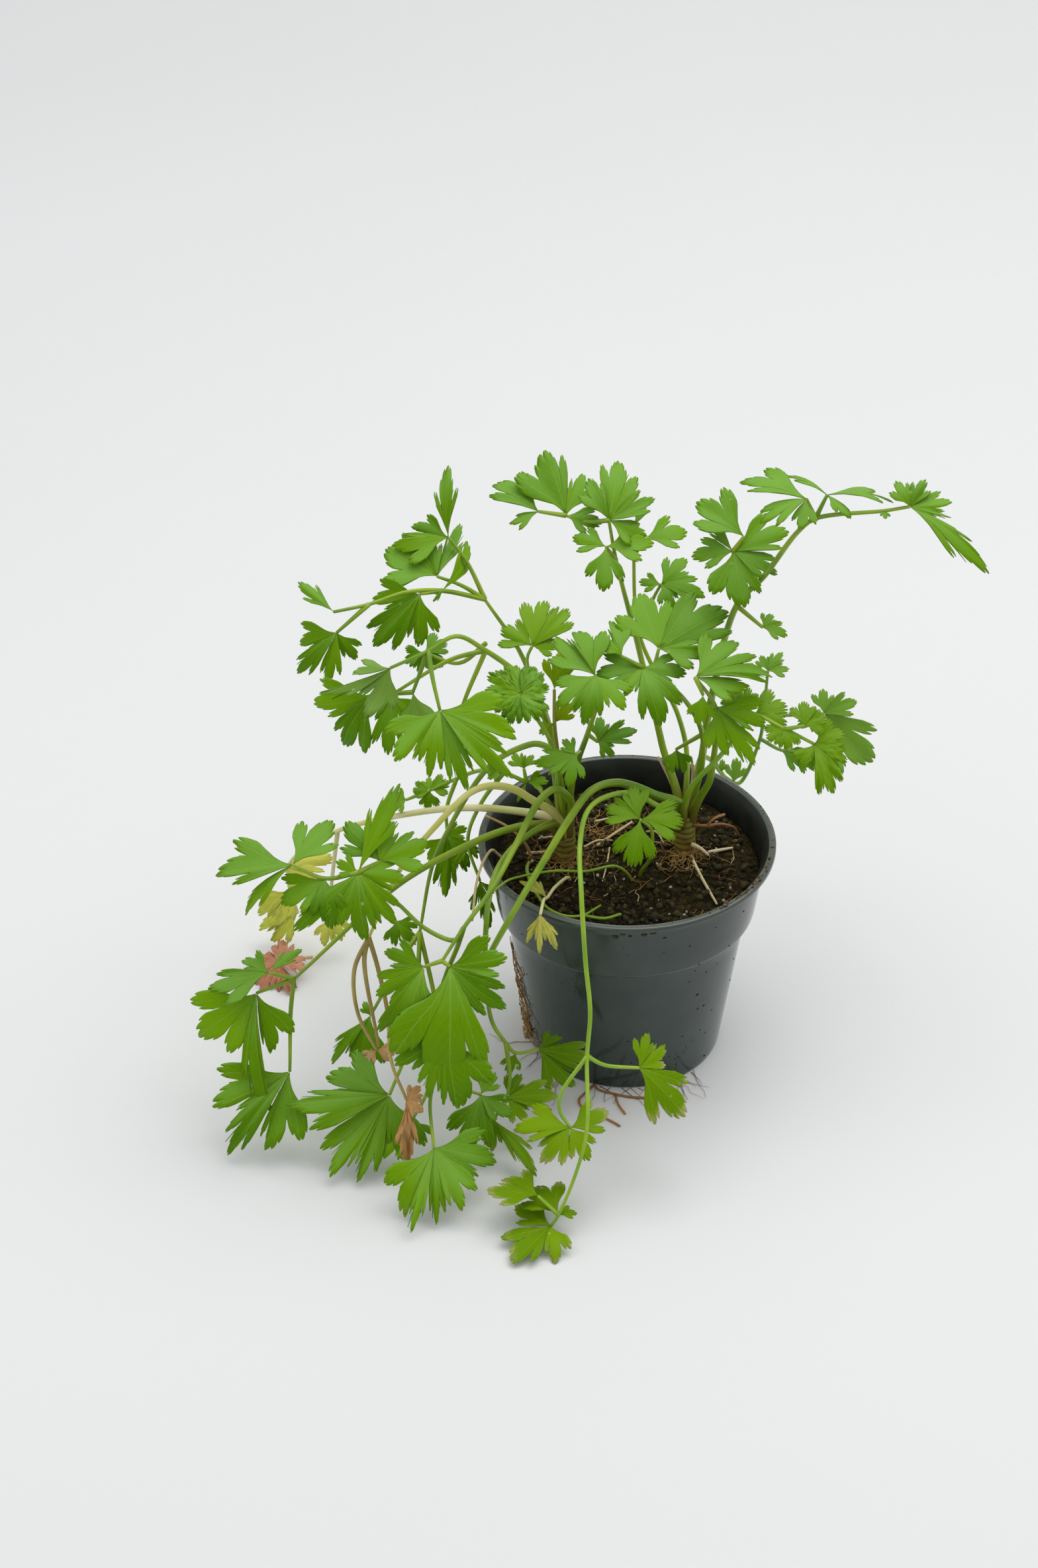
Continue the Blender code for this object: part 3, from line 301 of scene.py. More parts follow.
def leaflet(sheets, hub, up, tip, kind, half_low, half_high, joined, rng, crumple):
    """One toothed leaflet from its hub to its tip, as a thin closed shell that arches, folds and ruffles."""
    hub, tip, up = np.asarray(hub, float), np.asarray(tip, float), np.asarray(up, float)
    along = tip - hub
    length = np.linalg.norm(along)
    along /= length
    normal = up - along * up.dot(along)
    normal /= np.linalg.norm(normal)
    across = np.cross(normal, along)
    squeeze = min(1, (half_low + half_high) / 2 / math.radians(KINDS[kind][0])) ** 1.3
    place, reach, peaks = outline(kind, squeeze, rng)
    half = np.where(place < 0, half_low, half_high)
    base_width = 0.36 + 0.68 * np.where(place < 0, *joined)
    fold = rng.uniform(*FOLD) * (1 if rng.random() < 1 - BACKWARD_SHARE else BACKWARD)
    arch = 0.04 + rng.uniform(-0.5, 1) * 0.08
    curl = rng.uniform(*CURL) * crumple
    droop = rng.uniform(*DROOP)
    sweep = rng.uniform(*SWEEP)
    ruffle = rng.uniform(*RUFFLE) * crumple
    phase = rng.uniform(0, math.tau)
    tone = rng.random()
    grid, flat = [], []
    for row in ROWS:
        base = 0.7 * (1 - 0.3 * place**2)
        far = row * (base + (reach - base) * row)
        narrow = base_width + (1 - base_width) * np.clip(far / 0.5, 0, 1) ** 0.9
        angle = place * half * narrow
        x, y = far * np.cos(angle), far * np.sin(angle)
        y = y + sweep * x * x
        height = arch * 4 * x * (1 - x)
        height = height + fold * np.sqrt(y * y + 0.0004) + curl * y * y - droop * x**3
        height = height + ruffle * far**2.5 * np.sin(place * 6 + phase) + 0.015 * far * np.cos(angle * 9)
        height = height + 0.05 * (crumple - 1) * far * np.sin(x * 14 + phase) * np.cos(place * 9 - phase)
        grid.append(hub + length * (np.outer(x, along) + np.outer(y, across) + np.outer(height, normal)))
        flat.append(np.stack([far, place], axis=1))
    grid = np.array(grid)
    rows, columns = grid.shape[:2]
    normals = np.cross(np.gradient(grid, axis=0), np.gradient(grid, axis=1))
    normals /= np.maximum(np.linalg.norm(normals, axis=2), 1e-9)[..., None]
    if (normals @ normal).mean() < 0:
        normals = -normals
    half_thick = normals * LEAF_THICKNESS / 2
    verts = np.concatenate([(grid + half_thick).reshape(-1, 3), (grid - half_thick).reshape(-1, 3)])
    # A leaflet that touches the table flattens out on it
    heights = verts[:, 2]
    pressed = LEAF_LOWEST * np.exp(np.minimum(heights, LEAF_LOWEST) / LEAF_LOWEST - 1)
    verts[:, 2] = np.where(heights < LEAF_LOWEST, pressed, heights)
    flip = np.cross(grid[1, 1] - grid[0, 1], grid[1, 2] - grid[1, 1]).dot(normals[1, 1]) < 0
    tones = np.repeat([tone, tone + UNDERSIDE], rows * columns)
    nearness = np.concatenate([np.outer(ROWS**8, 0.45 + 0.55 * peaks).ravel()] * 2)
    sheets.add(verts, shell_faces(rows, columns, flip), 1, np.concatenate(flat * 2), tones, nearness)


def leaf_group(sheets, hub, face, tips, rng, crumple):
    """The leaflets round one hub, each given the room that its neighbours leave, as in part.py."""
    up = Vector(face).normalized()
    east = up.orthogonal().normalized()
    north = up.cross(east)
    blades = []
    for kind, *tip in tips:
        way = Vector(tip) - Vector(hub)
        blades.append((math.atan2(way.dot(north), way.dot(east)), kind, tip))
    blades.sort()
    for number, (middle, kind, tip) in enumerate(blades):
        half = math.radians(KINDS[kind][0])
        before, after = blades[number - 1], blades[(number + 1) % len(blades)]
        room_before = (middle - before[0]) % math.tau or math.tau
        room_after = (after[0] - middle) % math.tau or math.tau
        low = OVERLAP * room_before / (half + math.radians(KINDS[before[1]][0]))
        high = OVERLAP * room_after / (half + math.radians(KINDS[after[1]][0]))
        # Where a neighbour is close the two are joined at their base, as lobes of one leaf
        joined = [min(1, max(0, (1.2 - room) / 0.3)) for room in (low, high)]
        leaflet(sheets, hub, up, tip, kind, half * min(1, low), half * min(1, high), joined, rng, crumple)


# Materials
class Nodes:
    """The node tree of a material or the world, with short ways to add to it; its colour is built in coats."""

    def __init__(self, owner):
        owner.use_nodes = True
        self.owner, self.tree, self.colour = owner, owner.node_tree, None
        self.coordinates = self.node("TexCoord").outputs
        self.place = self.coordinates["Object"]

    def put(self, node, inputs):
        """Sets inputs of a node; each is a value or another node's output."""
        for key, value in dict(inputs).items():
            if isinstance(value, bpy.types.NodeSocket):
                self.tree.links.new(value, node.inputs[key])
            else:
                node.inputs[key].default_value = value

    def node(self, kind, inputs=(), **settings):
        """A new node with its settings and inputs."""
        made = self.tree.nodes.new("ShaderNode" + kind)
        for key, value in settings.items():
            setattr(made, key, value)
        self.put(made, inputs)
        return made

    def maths(self, operation, *values, clamp=False):
        """What one maths node makes of the values, kept within 0 and 1 where clamp is set."""
        return self.node("Math", enumerate(values), operation=operation, use_clamp=clamp).outputs[0]

    def plus(self, first, second, clamp=False):
        return self.maths("ADD", first, second, clamp=clamp)

    def minus(self, first, second):
        return self.maths("SUBTRACT", first, second)

    def times(self, first, second, clamp=False):
        return self.maths("MULTIPLY", first, second, clamp=clamp)

    def ramp(self, value, low, high):
        """0 below low and 1 above high, smooth between."""
        return self.node("MapRange", {0: value, 1: low, 2: high}, interpolation_type="SMOOTHSTEP").outputs[0]

    def fade(self, value, low, high):
        """1 below low and 0 above high, smooth between."""
        return self.minus(1.0, self.ramp(value, low, high))

    def split(self, vector):
        """The three parts of a vector."""
        return list(self.node("SeparateXYZ", {0: vector}).outputs)

    def noise(self, scale, detail, vector=None, **inputs):
        """Cloudy noise over the object, or over a vector of its own."""
        vector = self.place if vector is None else vector
        inputs |= {"Vector": vector, "Scale": scale, "Detail": detail}
        return self.node("TexNoise", inputs).outputs[0]

    def spots(self, scale, inner, outer, rare, always):
        """Round spots in a few of the cells, full inside the inner radius."""
        cells = self.node("TexVoronoi", {"Vector": self.place, "Scale": scale}).outputs
        return self.times(self.fade(cells["Distance"], inner, outer), self.ramp(cells["Color"], rare, always))

    def paint(self, share, colour, under=None):
        """Lays a colour over what is painted so far, or over under; share is how much of it shows."""
        under = self.colour if under is None else (*under, 1)
        mix = self.node("Mix", {0: share, 6: under, 7: (*colour, 1)}, data_type="RGBA")
        self.colour = mix.outputs[2]

    def bump(self, relief, strength, distance):
        """The surface's direction with a fine relief on it."""
        return self.node("Bump", {"Height": relief, "Strength": strength, "Distance": distance}).outputs[0]

    def finish(self, roughness, normal=None, **inputs):
        """The material, with its colour, roughness and relief given to its shader."""
        inputs |= {"Base Color": self.colour, "Roughness": roughness}
        if normal is not None:
            inputs["Normal"] = normal
        self.put(self.tree.nodes["Principled BSDF"], inputs)
        return self.owner


PALE = (0.3, 0.46, 0.13)
TOOTH_TIP = (0.32, 0.44, 0.04)
SPECK = (0.62, 0.7, 0.35)
BITTEN_EDGE = (0.62, 0.6, 0.2)


def leaf_material(
    name, deep, light, vein, patch, roughness, glow, specks=0.5, margin=0.0, pale=PALE, painted_sheen=None
):
    """Leaf tissue: mottled, with pale veins, specks and margins, a painted sheen where it faces up, and light
    through it.
    """
    look = Nodes(bpy.data.materials.new(name))
    x, side, _ = look.split(look.node("UVMap", uv_map="leaf").outputs[0])
    side = look.maths("ABSOLUTE", side)
    tone, peak = (look.node("Attribute", attribute_name=key).outputs["Fac"] for key in ("tone", "peak"))
    cloud, fine = look.noise(90.0, 4.0), look.noise(900.0, 3.0)
    under = look.ramp(tone, 1.2, 1.6)
    tone = look.minus(tone, look.times(under, UNDERSIDE))
    look.paint(look.plus(look.times(tone, 0.7), look.times(cloud, 0.35), clamp=True), light, deep)
    # Painted sheen: a greyer green where the leaf faces up, standing in for the bright room's reflection
    if painted_sheen is not None:
        facing = look.split(look.node("NewGeometry").outputs["Normal"])[2]
        look.paint(look.times(look.ramp(facing, 0.42, 1.0), look.plus(look.times(cloud, 0.6), 0.5)), painted_sheen)
    look.paint(look.times(under, 0.5), pale)
    # The midrib, one vein into each side lobe, and forks from each of them
    width = look.plus(look.times(x, -0.009), 0.015)
    y = look.times(side, x)
    aside = look.times(look.maths("ABSOLUTE", look.minus(side, 0.66)), x)
    midrib = look.fade(look.maths("DIVIDE", y, width), 0.3, 1.3)
    lateral = look.fade(look.maths("DIVIDE", aside, width), 0.2, 1.1)
    nearest = look.maths("MINIMUM", y, aside)
    comb = look.plus(look.minus(x, look.times(nearest, 1.3)), 0.02)
    forks = look.fade(look.maths("PINGPONG", comb, 0.06), 0.002, 0.011)
    forks = look.times(forks, look.minus(0.55, look.times(nearest, 2.2)), clamp=True)
    veins = look.maths("MAXIMUM", look.maths("MAXIMUM", midrib, lateral), forks)
    look.paint(look.times(veins, 0.62), vein)
    look.paint(look.times(look.ramp(peak, 0.45, 0.95), 0.4), TOOTH_TIP)
    look.paint(look.times(look.spots(260.0, 0.12, 0.22, 0.86, 0.9), specks), SPECK)
    look.paint(look.times(look.ramp(look.noise(38.0, 2.0), 0.6, 0.78), 0.5), patch)
    if margin:
        bitten = look.times(look.ramp(peak, 0.12, 0.5), look.ramp(cloud, 0.42, 0.56))
        look.paint(look.times(bitten, margin), BITTEN_EDGE)
    normal = look.bump(look.plus(look.times(veins, -0.6), look.times(fine, 0.35)), 0.35, 0.0003)
    made = look.finish(roughness, normal, **{"Specular IOR Level": 0.09})
    through = look.node("BsdfTranslucent", {"Color": look.colour, "Normal": normal}).outputs[0]
    shader = look.tree.nodes["Principled BSDF"].outputs[0]
    both = look.node("MixShader", {0: glow, 1: shader, 2: through}).outputs[0]
    look.put(look.tree.nodes["Material Output"], {0: both})
    return made


def stalk_material(name, low, high, streak, roughness=0.4, foot=None):
    """Stalk tissue: mottled, streaked lengthwise, and of another colour at the foot where one is given."""
    look = Nodes(bpy.data.materials.new(name))
    uv = look.node("UVMap", uv_map="leaf").outputs[0]
    stripes = look.noise(2.0, 2.0, look.node("Mapping", {"Vector": uv, "Scale": (6.0, 0.02, 1.0)}).outputs[0])
    look.paint(look.ramp(look.noise(60.0, 3.0), 0.35, 0.65), high, low)
    look.paint(look.times(look.ramp(stripes, 0.45, 0.62), 0.45), streak)
    if foot is not None:
        look.paint(look.fade(look.split(uv)[1], 2.0, 24.0), foot)
    return look.finish(roughness, look.bump(stripes, 0.25, 0.0003))


def plain_material(name, low, high, scale, roughness):
    """A mottled plain look."""
    look = Nodes(bpy.data.materials.new(name))
    cloud = look.noise(scale, 4.0)
    look.paint(look.ramp(cloud, 0.38, 0.62), high, low)
    return look.finish(roughness, look.bump(cloud, 0.5, 0.0004))


def pot_material():
    """Dark plastic with a hazy shine, a painted highlight along the top of the lip and a few specks of dust."""
    look = Nodes(bpy.data.materials.new("pot_plastic_fine"))
    haze, grain = look.noise(22.0, 5.0), look.noise(1400.0, 2.0)
    look.paint(look.ramp(haze, 0.35, 0.7), (0.042, 0.06, 0.05), (0.026, 0.041, 0.034))
    # Painted highlight: a lighter band all round the top of the lip, which faces the light above
    look.paint(look.ramp(look.split(look.place)[2], 0.0973, 0.0978), (0.105, 0.118, 0.098))
    look.paint(look.times(look.spots(150.0, 0.05, 0.14, 0.8, 0.86), 0.8), (0.02, 0.015, 0.01))
    return look.finish(look.plus(look.times(haze, 0.1), 0.09), look.bump(grain, 0.06, 0.0001))


def soil_material():
    """Dark crumbly soil with a few lighter flecks."""
    look = Nodes(bpy.data.materials.new("potting_soil_fine"))
    clods = look.noise(420.0, 6.0, Roughness=0.7)
    cells = look.node("TexVoronoi", {"Vector": look.place, "Scale": 700.0}).outputs["Distance"]
    look.paint(look.ramp(clods, 0.4, 0.68), (0.06, 0.042, 0.006), (0.0065, 0.005, 0.0006))
    look.paint(look.ramp(clods, 0.66, 0.74), (0.17, 0.11, 0.035))
    normal = look.bump(look.plus(clods, look.times(cells, 0.7)), 0.9, 0.0012)
    return look.finish(0.9, normal, **{"Specular IOR Level": 0.2})


def crown_material():
    """A stem base: pale ridges and dark grooves round it, greener at the top and browner in the soil."""
    ring_gap = 0.00135
    look = Nodes(bpy.data.materials.new("stem_base_fine"))
    height = look.split(look.place)[2]
    cloud = look.noise(200.0, 4.0)
    look.paint(look.ramp(cloud, 0.35, 0.65), (0.36, 0.28, 0.035), (0.17, 0.125, 0.01))
    look.paint(look.ramp(height, 0.092, 0.101), (0.3, 0.32, 0.05))
    groove = look.maths("PINGPONG", look.plus(height, look.times(cloud, 0.0008)), ring_gap)
    groove = look.maths("DIVIDE", groove, ring_gap)
    look.paint(look.times(look.ramp(groove, 0.7, 0.95), 0.7), (0.55, 0.42, 0.16))
    look.paint(look.fade(groove, 0.05, 0.3), (0.09, 0.055, 0.01))
    look.paint(look.fade(height, 0.085, 0.09), (0.2, 0.1, 0.02))
    return look.finish(0.5, look.bump(cloud, 0.4, 0.0004))


def floor_material():
    """A plain white, with painted shade that makes it a little darker up the backdrop and toward the camera."""
    look = Nodes(bpy.data.materials.new("floor_white"))
    _, y, z = look.split(look.place)
    look.paint(look.noise(3.0, 2.0), (0.81, 0.81, 0.81), (0.79, 0.79, 0.785))
    # Painted shade: darker up the backdrop and toward the camera
    look.paint(look.ramp(z, 0.0, 0.8), (0.7, 0.715, 0.71))
    look.paint(look.ramp(look.times(y, -1.0), 0.05, 0.4), (0.765, 0.765, 0.76))
    return look.finish(0.75)


GREEN_VEIN = (0.36, 0.56, 0.07)
FOOT = (0.2, 0.15, 0.018)
# The leaves' looks by slot, or by stem where one has its own; and then the stalks' looks
LEAVES = {
    "leaf_green": leaf_material(
        "leaf_green_fine", (0.085, 0.25, 0.0002), (0.28, 0.55, 0.0005), GREEN_VEIN, (0.19, 0.41, 0.001),
        0.38, 0.26, painted_sheen=(0.26, 0.53, 0.075)),
    "leaf_bright": leaf_material(
        "leaf_bright_fine", (0.144, 0.348, 0.0005), (0.288, 0.528, 0.001), (0.34, 0.52, 0.04),
        (0.264, 0.48, 0.001), 0.4, 0.34, painted_sheen=(0.31, 0.55, 0.05)),
    "leaf_bluish": leaf_material(
        "leaf_bluish_fine", (0.143, 0.336, 0.02), (0.26, 0.48, 0.05), (0.3, 0.46, 0.1), (0.208, 0.432, 0.03),
        0.36, 0.24),
    "leaf_yellow": leaf_material(
        "leaf_yellow_fine", (0.24, 0.42, 0.001), (0.44, 0.58, 0.005), (0.5, 0.62, 0.05), (0.5, 0.55, 0.01),
        0.46, 0.36),
    "leaf_pale": leaf_material(
        "leaf_pale_fine", (0.62, 0.7, 0.09), (0.86, 0.84, 0.22), (0.84, 0.8, 0.35), (0.8, 0.66, 0.1),
        0.5, 0.5, 0.2, pale=(0.88, 0.86, 0.4)),
    "dry_leaf": leaf_material(
        "dry_leaf_fine", (0.82, 0.48, 0.18), (0.93, 0.68, 0.38), (0.68, 0.34, 0.11), (0.86, 0.52, 0.14),
        0.6, 0.45, 0.0, pale=(0.9, 0.7, 0.5)),
    "dried_leaf": leaf_material(
        "dried_pink", (0.66, 0.24, 0.12), (0.84, 0.46, 0.3), (0.84, 0.54, 0.34), (0.55, 0.17, 0.07),
        0.6, 0.3, 0.0, pale=(0.8, 0.6, 0.42)),
    "stem_front_thin": leaf_material(
        "leaf_bitten", (0.168, 0.341, 0.0005), (0.3024, 0.506, 0.002), (0.36, 0.52, 0.04),
        (0.3808, 0.506, 0.01), 0.4, 0.32, 0.9, 0.85),
    "stem_floor": leaf_material(
        "leaf_worn", (0.096, 0.24, 0.0005), (0.24, 0.432, 0.001), GREEN_VEIN, (0.432, 0.48, 0.006),
        0.4, 0.26, 0.9, 0.3),
}
STALKS = {
    "leaf_green": stalk_material(
        "stalk_green", (0.14, 0.29, 0.003), (0.29, 0.43, 0.012), (0.36, 0.48, 0.04), 0.36, FOOT),
    "leaf_bright": stalk_material(
        "stalk_bright", (0.2, 0.4, 0.006), (0.32, 0.5, 0.02), (0.38, 0.54, 0.06), 0.36, FOOT),
    "leaf_bluish": stalk_material(
        "stalk_bluish", (0.14, 0.3, 0.02), (0.25, 0.4, 0.04), (0.32, 0.45, 0.08), 0.36, FOOT),
    "leaf_yellow": stalk_material(
        "stalk_yellow", (0.26, 0.3, 0.02), (0.38, 0.36, 0.04), (0.36, 0.2, 0.05), 0.4, FOOT),
    "leaf_pale": stalk_material(
        "stalk_pale", (0.64, 0.64, 0.2), (0.88, 0.82, 0.44), (0.86, 0.8, 0.5), 0.4, (0.76, 0.64, 0.34)),
    "dry_leaf": stalk_material(
        "stalk_dry", (0.5, 0.32, 0.09), (0.7, 0.5, 0.2), (0.36, 0.2, 0.05), 0.5, (0.68, 0.46, 0.24)),
    "straw": stalk_material("straw_fine", (0.7, 0.54, 0.27), (0.9, 0.76, 0.48), (0.46, 0.28, 0.1), 0.6),
    "root_brown": stalk_material("root_fine", (0.26, 0.1, 0.02), (0.44, 0.2, 0.045), (0.5, 0.28, 0.1), 0.6),
    "stem_dry": stalk_material(
        "stalk_cream", (0.66, 0.64, 0.14), (0.82, 0.78, 0.26), (0.74, 0.66, 0.2), 0.4, (0.5, 0.46, 0.1)),
}
WITHERED = stalk_material("stalk_withered", (0.34, 0.24, 0.05), (0.5, 0.38, 0.1), (0.6, 0.46, 0.18), 0.5)
BRISTLE = stalk_material("root_hair", (0.3, 0.15, 0.03), (0.5, 0.3, 0.09), (0.2, 0.09, 0.02), 0.7)
DARK_HAIR = stalk_material("root_dark", (0.08, 0.045, 0.025), (0.2, 0.1, 0.05), (0.05, 0.03, 0.02), 0.7)
CRUMB = plain_material("soil_crumb", (0.01, 0.0075, 0.001), (0.062, 0.044, 0.007), 500.0, 0.9)
BARK = plain_material("bark_crumb", (0.055, 0.032, 0.01), (0.17, 0.1, 0.035), 500.0, 0.85)
PERLITE = plain_material("white_grain", (0.3, 0.27, 0.2), (0.62, 0.58, 0.5), 700.0, 0.8)
# The pot's inner wall: the same plastic, darkened as painted shade inside the pot
POT_INSIDE_SHADE = plain_material("pot_inside_painted_shade", (0.007, 0.009, 0.006), (0.016, 0.02, 0.016), 90.0, 0.5)


# Stems
def gathered(path, along, radii, crown):
    """A stalk from just above the soil, its first stretch drawn in to its crown and a little wider."""
    first = int(np.argmax((path[:, 2] > HIDDEN_HEIGHT) | (along > HIDDEN_LENGTH)))
    path, along, radii = path[first:].copy(), along[first:] - along[first], radii[first:]
    share = np.clip((along - 3) / GATHERED_LENGTH, 0, 1)
    share = GATHERED_SHARE + (1 - GATHERED_SHARE) * share * share * (3 - 2 * share)
    path[:, :2] = crown + (path[:, :2] - crown) * share[:, None]
    return path, along, radii * (1 + 0.3 * np.exp(-(((along - 8) / 9) ** 2)))


def stem_piece(name, look, thickness, stalks, leaves=()):
    """A stem with smooth stalks and fine leaflets, in place of its CAD node.

    The first stalk goes down into the soil where it starts at the collar. A leaf is the number of the stalk
    that it ends, or its own hub, then the way that its face looks, then the kind and the tip of each leaflet.
    """
    rng = random.Random(name)
    x, y, z = stalks[0][0]
    rooted = z == STEM_COLLAR
    if rooted:
        stalks = [((x, y, STEM_FOOT), *stalks[0]), *stalks[1:]]
    crown = np.array(min((CROWN_LEFT, CROWN_RIGHT), key=lambda place: math.dist(place, (x, y))))
    sheets = Sheets()
    for number, points in enumerate(stalks):
        main = number == 0
        start = thickness * 1.04 if main else min(thickness * 0.8, SIDE_STALK)
        end = min(thickness, STALK_TIP if leaves or not main else BARE_TIP)
        path, along = smooth_path(points, STALK_STEP)
        radii = start + (end - start) * (along / along[-1]) ** (1.5 if main else 1.1)
        if main and rooted and math.dist(crown, (x, y)) < CROWN_REACH:
            path, along, radii = gathered(path, along, radii, crown)
        sides = 14 if start > 1.2 else 10
        verts, faces = tube(path, radii, sides, 0.07 if start > 0.9 else 0.03, rng.uniform(0, math.tau))
        heights = np.concatenate([[0], np.repeat(along, sides), [along[-1]]]) + (0 if main else SIDE_START)
        rounds = np.concatenate([[0], np.tile(np.arange(sides) / sides, len(path)), [0]])
        slot = 2 if not main and name == "stem_dry" else 0
        sheets.add(verts, faces, slot, np.stack([rounds, heights], axis=1), np.full(len(verts), rng.random()))
    for hub, face, *tips in leaves:
        hub = stalks[hub][-1] if isinstance(hub, int) else hub
        leaf_group(sheets, hub, face, tips, rng, CRUMPLE.get(name) or CRUMPLE.get(look, 1.0))
    stalk = STALKS.get(name) or STALKS[look]
    obj = sheets.finish(name + "_fine", [stalk, LEAVES.get(name) or LEAVES.get(look, stalk), WITHERED])
    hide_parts(name)
    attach(obj, "root")


stem_piece("stem_high_left", "leaf_green", 1.5, [
    ((-25, 9.2, 87), (-29, 11, 103), (-30, 15, 133), (-43, 22, 171), (-57, 25, 194)),
    ((-57, 25, 194), (-64, 28, 209), (-71, 31, 218)),
    ((-57, 25, 194), (-66, 22, 202), (-75, 20, 207)),
    ((-57, 25, 194), (-73, 16, 203), (-86, 8, 207), (-100, 2, 205), (-113, -4, 205)),
    ((-100, 2, 205), (-112, -6, 197)),
    ((-73, 16, 203), (-81, 10, 205)),
], [
    (1, (-0.1, -0.7, 0.7), ("narrow", -74, 47, 241), ("mid", -93, 28, 216), ("mid", -86, 35, 221)),
    (2, (-0.1, -0.6, 0.8), ("broad", -97, 30, 212), ("mid", -78, 33, 217), ("narrow", -66, 45, 218)),
    ((-73, 16, 203), (0.8, -0.5, 0.3), ("narrow", -76, 9, 203), ("narrow", -64, 40, 210)),
    (3, (-0.3, -0.5, 0.8), ("narrow", -128, 11, 209)),
    (4, (-0.2, -0.85, 0.5), ("mid", -128, -3, 189), ("mid", -127, -10, 179), ("mid", -116, -12, 177),
     ("mid", -105, -8, 185)),
    (5, (0, -0.85, 0.5), ("mid", -100, 8, 202), ("broad", -99, 0, 187), ("mid", -82, 0, 187)),
])
stem_piece("stem_arch_left", "leaf_green", 1.6, [
    ((-32, 3, 87), (-29, 3, 113), (-31, 4, 145), (-40, -2, 173), (-55, -8, 191), (-66, -14, 201),
     (-76, -20, 198), (-90, -26, 194)),
    ((-76, -20, 198), (-74, -28, 191), (-71, -36, 182)),
    ((-55, -8, 191), (-64, -16, 170), (-66, -18, 159)),
    ((-55, -8, 191), (-69, -4, 184), (-92, -6, 169)),
    ((-76, -20, 198), (-82, -24, 182)),
    ((-82, -24, 182), (-98, -22, 179)),
    ((-57, 28, 172), (-68, 27, 163), (-82, 30, 166)),
], [
    (1, (0, -0.7, 0.7), ("cut", -42, -42, 176), ("cut", -44, -54, 164), ("mid", -59, -57, 161),
     ("cut", -74, -54, 164), ("cut", -88, -50, 168)),
    (0, (0, 0.6, -0.75), ("mid", -104, -28, 191), ("narrow", -117, -24, 179), ("mid", -98, -32, 176)),
    (3, (-0.1, -0.8, 0.6), ("mid", -103, -11, 161), ("mid", -92, -20, 150), ("mid", -84, -13, 161)),
    (4, (0, 0.6, -0.75), ("mid", -79, -33, 167)),
    (5, (-0.3, -0.9, 0.3), ("cut", -112, -25, 158), ("mid", -121, -18, 169)),
    (2, (0.2, -0.75, 0.65), ("small", -56, -12, 163), ("small", -53, -19, 154)),
    (6, (0, -0.6, 0.8), ("fan", -90, 28, 163), ("fan", -73, 34, 169), ("small", -74, 29, 160),
     ("small", -84, 26, 158)),
])
stem_piece("stem_top", "leaf_green", 1.6, [
    ((17.2, 11.3, 87), (17, 20, 109), (4, 35, 164), (-6, 43, 202), (-9, 46, 218)),
    ((-6, 43, 202), (-10, 41, 209)),
    ((-9, 46, 218), (-18, 50, 215), (-26, 53, 216)),
    ((-26, 53, 216), (-37, 56, 216)),
], [
    (0, (0.05, -0.6, 0.8), ("broad", -4, 67, 234), ("cut", 10, 54, 223), ("mid", -17, 59, 230),
     ("small", 6, 46, 212)),
    (1, (0, -0.6, 0.8), ("mid", -23, 45, 212), ("mid", 9, 42, 210), ("mid", -11, 26, 198)),
    (2, (0, -0.6, 0.8), ("broad", -33, 74, 234), ("mid", -21, 67, 228), ("mid", -12, 49, 214)),
    (3, (-0.2, -0.2, 0.95), ("cut", -56, 70, 222), ("mid", -49, 55, 212)),
])
stem_piece("stem_slender", "leaf_green", 1.1, [
    ((20, 15, 87), (24, 24, 119), (20, 32, 136), (4, 52, 161), (1, 63, 192), (1, 66, 204)),
    ((4, 52, 161), (9, 50, 180), (12, 48, 188)),
    ((1, 63, 192), (5, 63, 200)),
], [
    (2, (0.1, -0.5, 0.86), ("mid", 23, 69, 201)),
    (0, (0, -0.6, 0.8), ("narrow", 5, 74, 210)),
    (1, (0, -0.6, 0.8), ("mid", 22, 58, 195), ("mid", 30, 46, 186), ("small", 18, 40, 182),
     ("small", 3, 49, 188)),
])
stem_piece("stem_arch_right", "leaf_green", 1.6, [
    ((27.3, 14.6, 87), (30, 17, 131), (33, 17, 158), (41, 16, 198), (51, 15, 212), (63, 13, 233),
     (69, 12, 239), (94, 6, 246), (103, 4, 249)),
    ((41, 16, 198), (39, 23, 218)),
    ((41, 16, 198), (51, 10, 192)),
    ((69, 12, 239), (73, 14, 248)),
    ((69, 12, 239), (65, 9, 249)),
    ((39, 23, 218), (43, 24, 224)),
], [
    (1, (0, -0.55, 0.83), ("mid", 23, 22, 217), ("broad", 43, 4, 205), ("cut", 56, 15, 213),
     ("mid", 61, 29, 222), ("narrow", 28, 34, 226)),
    (5, (0, -0.5, 0.86), ("cut", 24, 36, 231)),
    (2, (0.1, -0.5, 0.86), ("small", 61, 9, 190), ("small", 55, 16, 195)),
    (3, (0, 0.3, 0.95), ("narrow", 58, 25, 252), ("cut", 98, 14, 248), ("mid", 82, 5, 245)),
    (4, (0.1, -0.05, 1), ("cut", 40, 16, 253), ("cut", 47, 0, 244), ("mid", 62, -2, 242)),
    (0, (0.15, -0.6, 0.8), ("small", 98, 10, 257), ("small", 108, 12, 257), ("mid", 119, 6, 249),
     ("narrow", 118, 0, 246), ("narrow", 134, -11, 232)),
    ((94, 6, 246), (0, -0.3, 0.95), ("small", 94, 2, 245)),
])
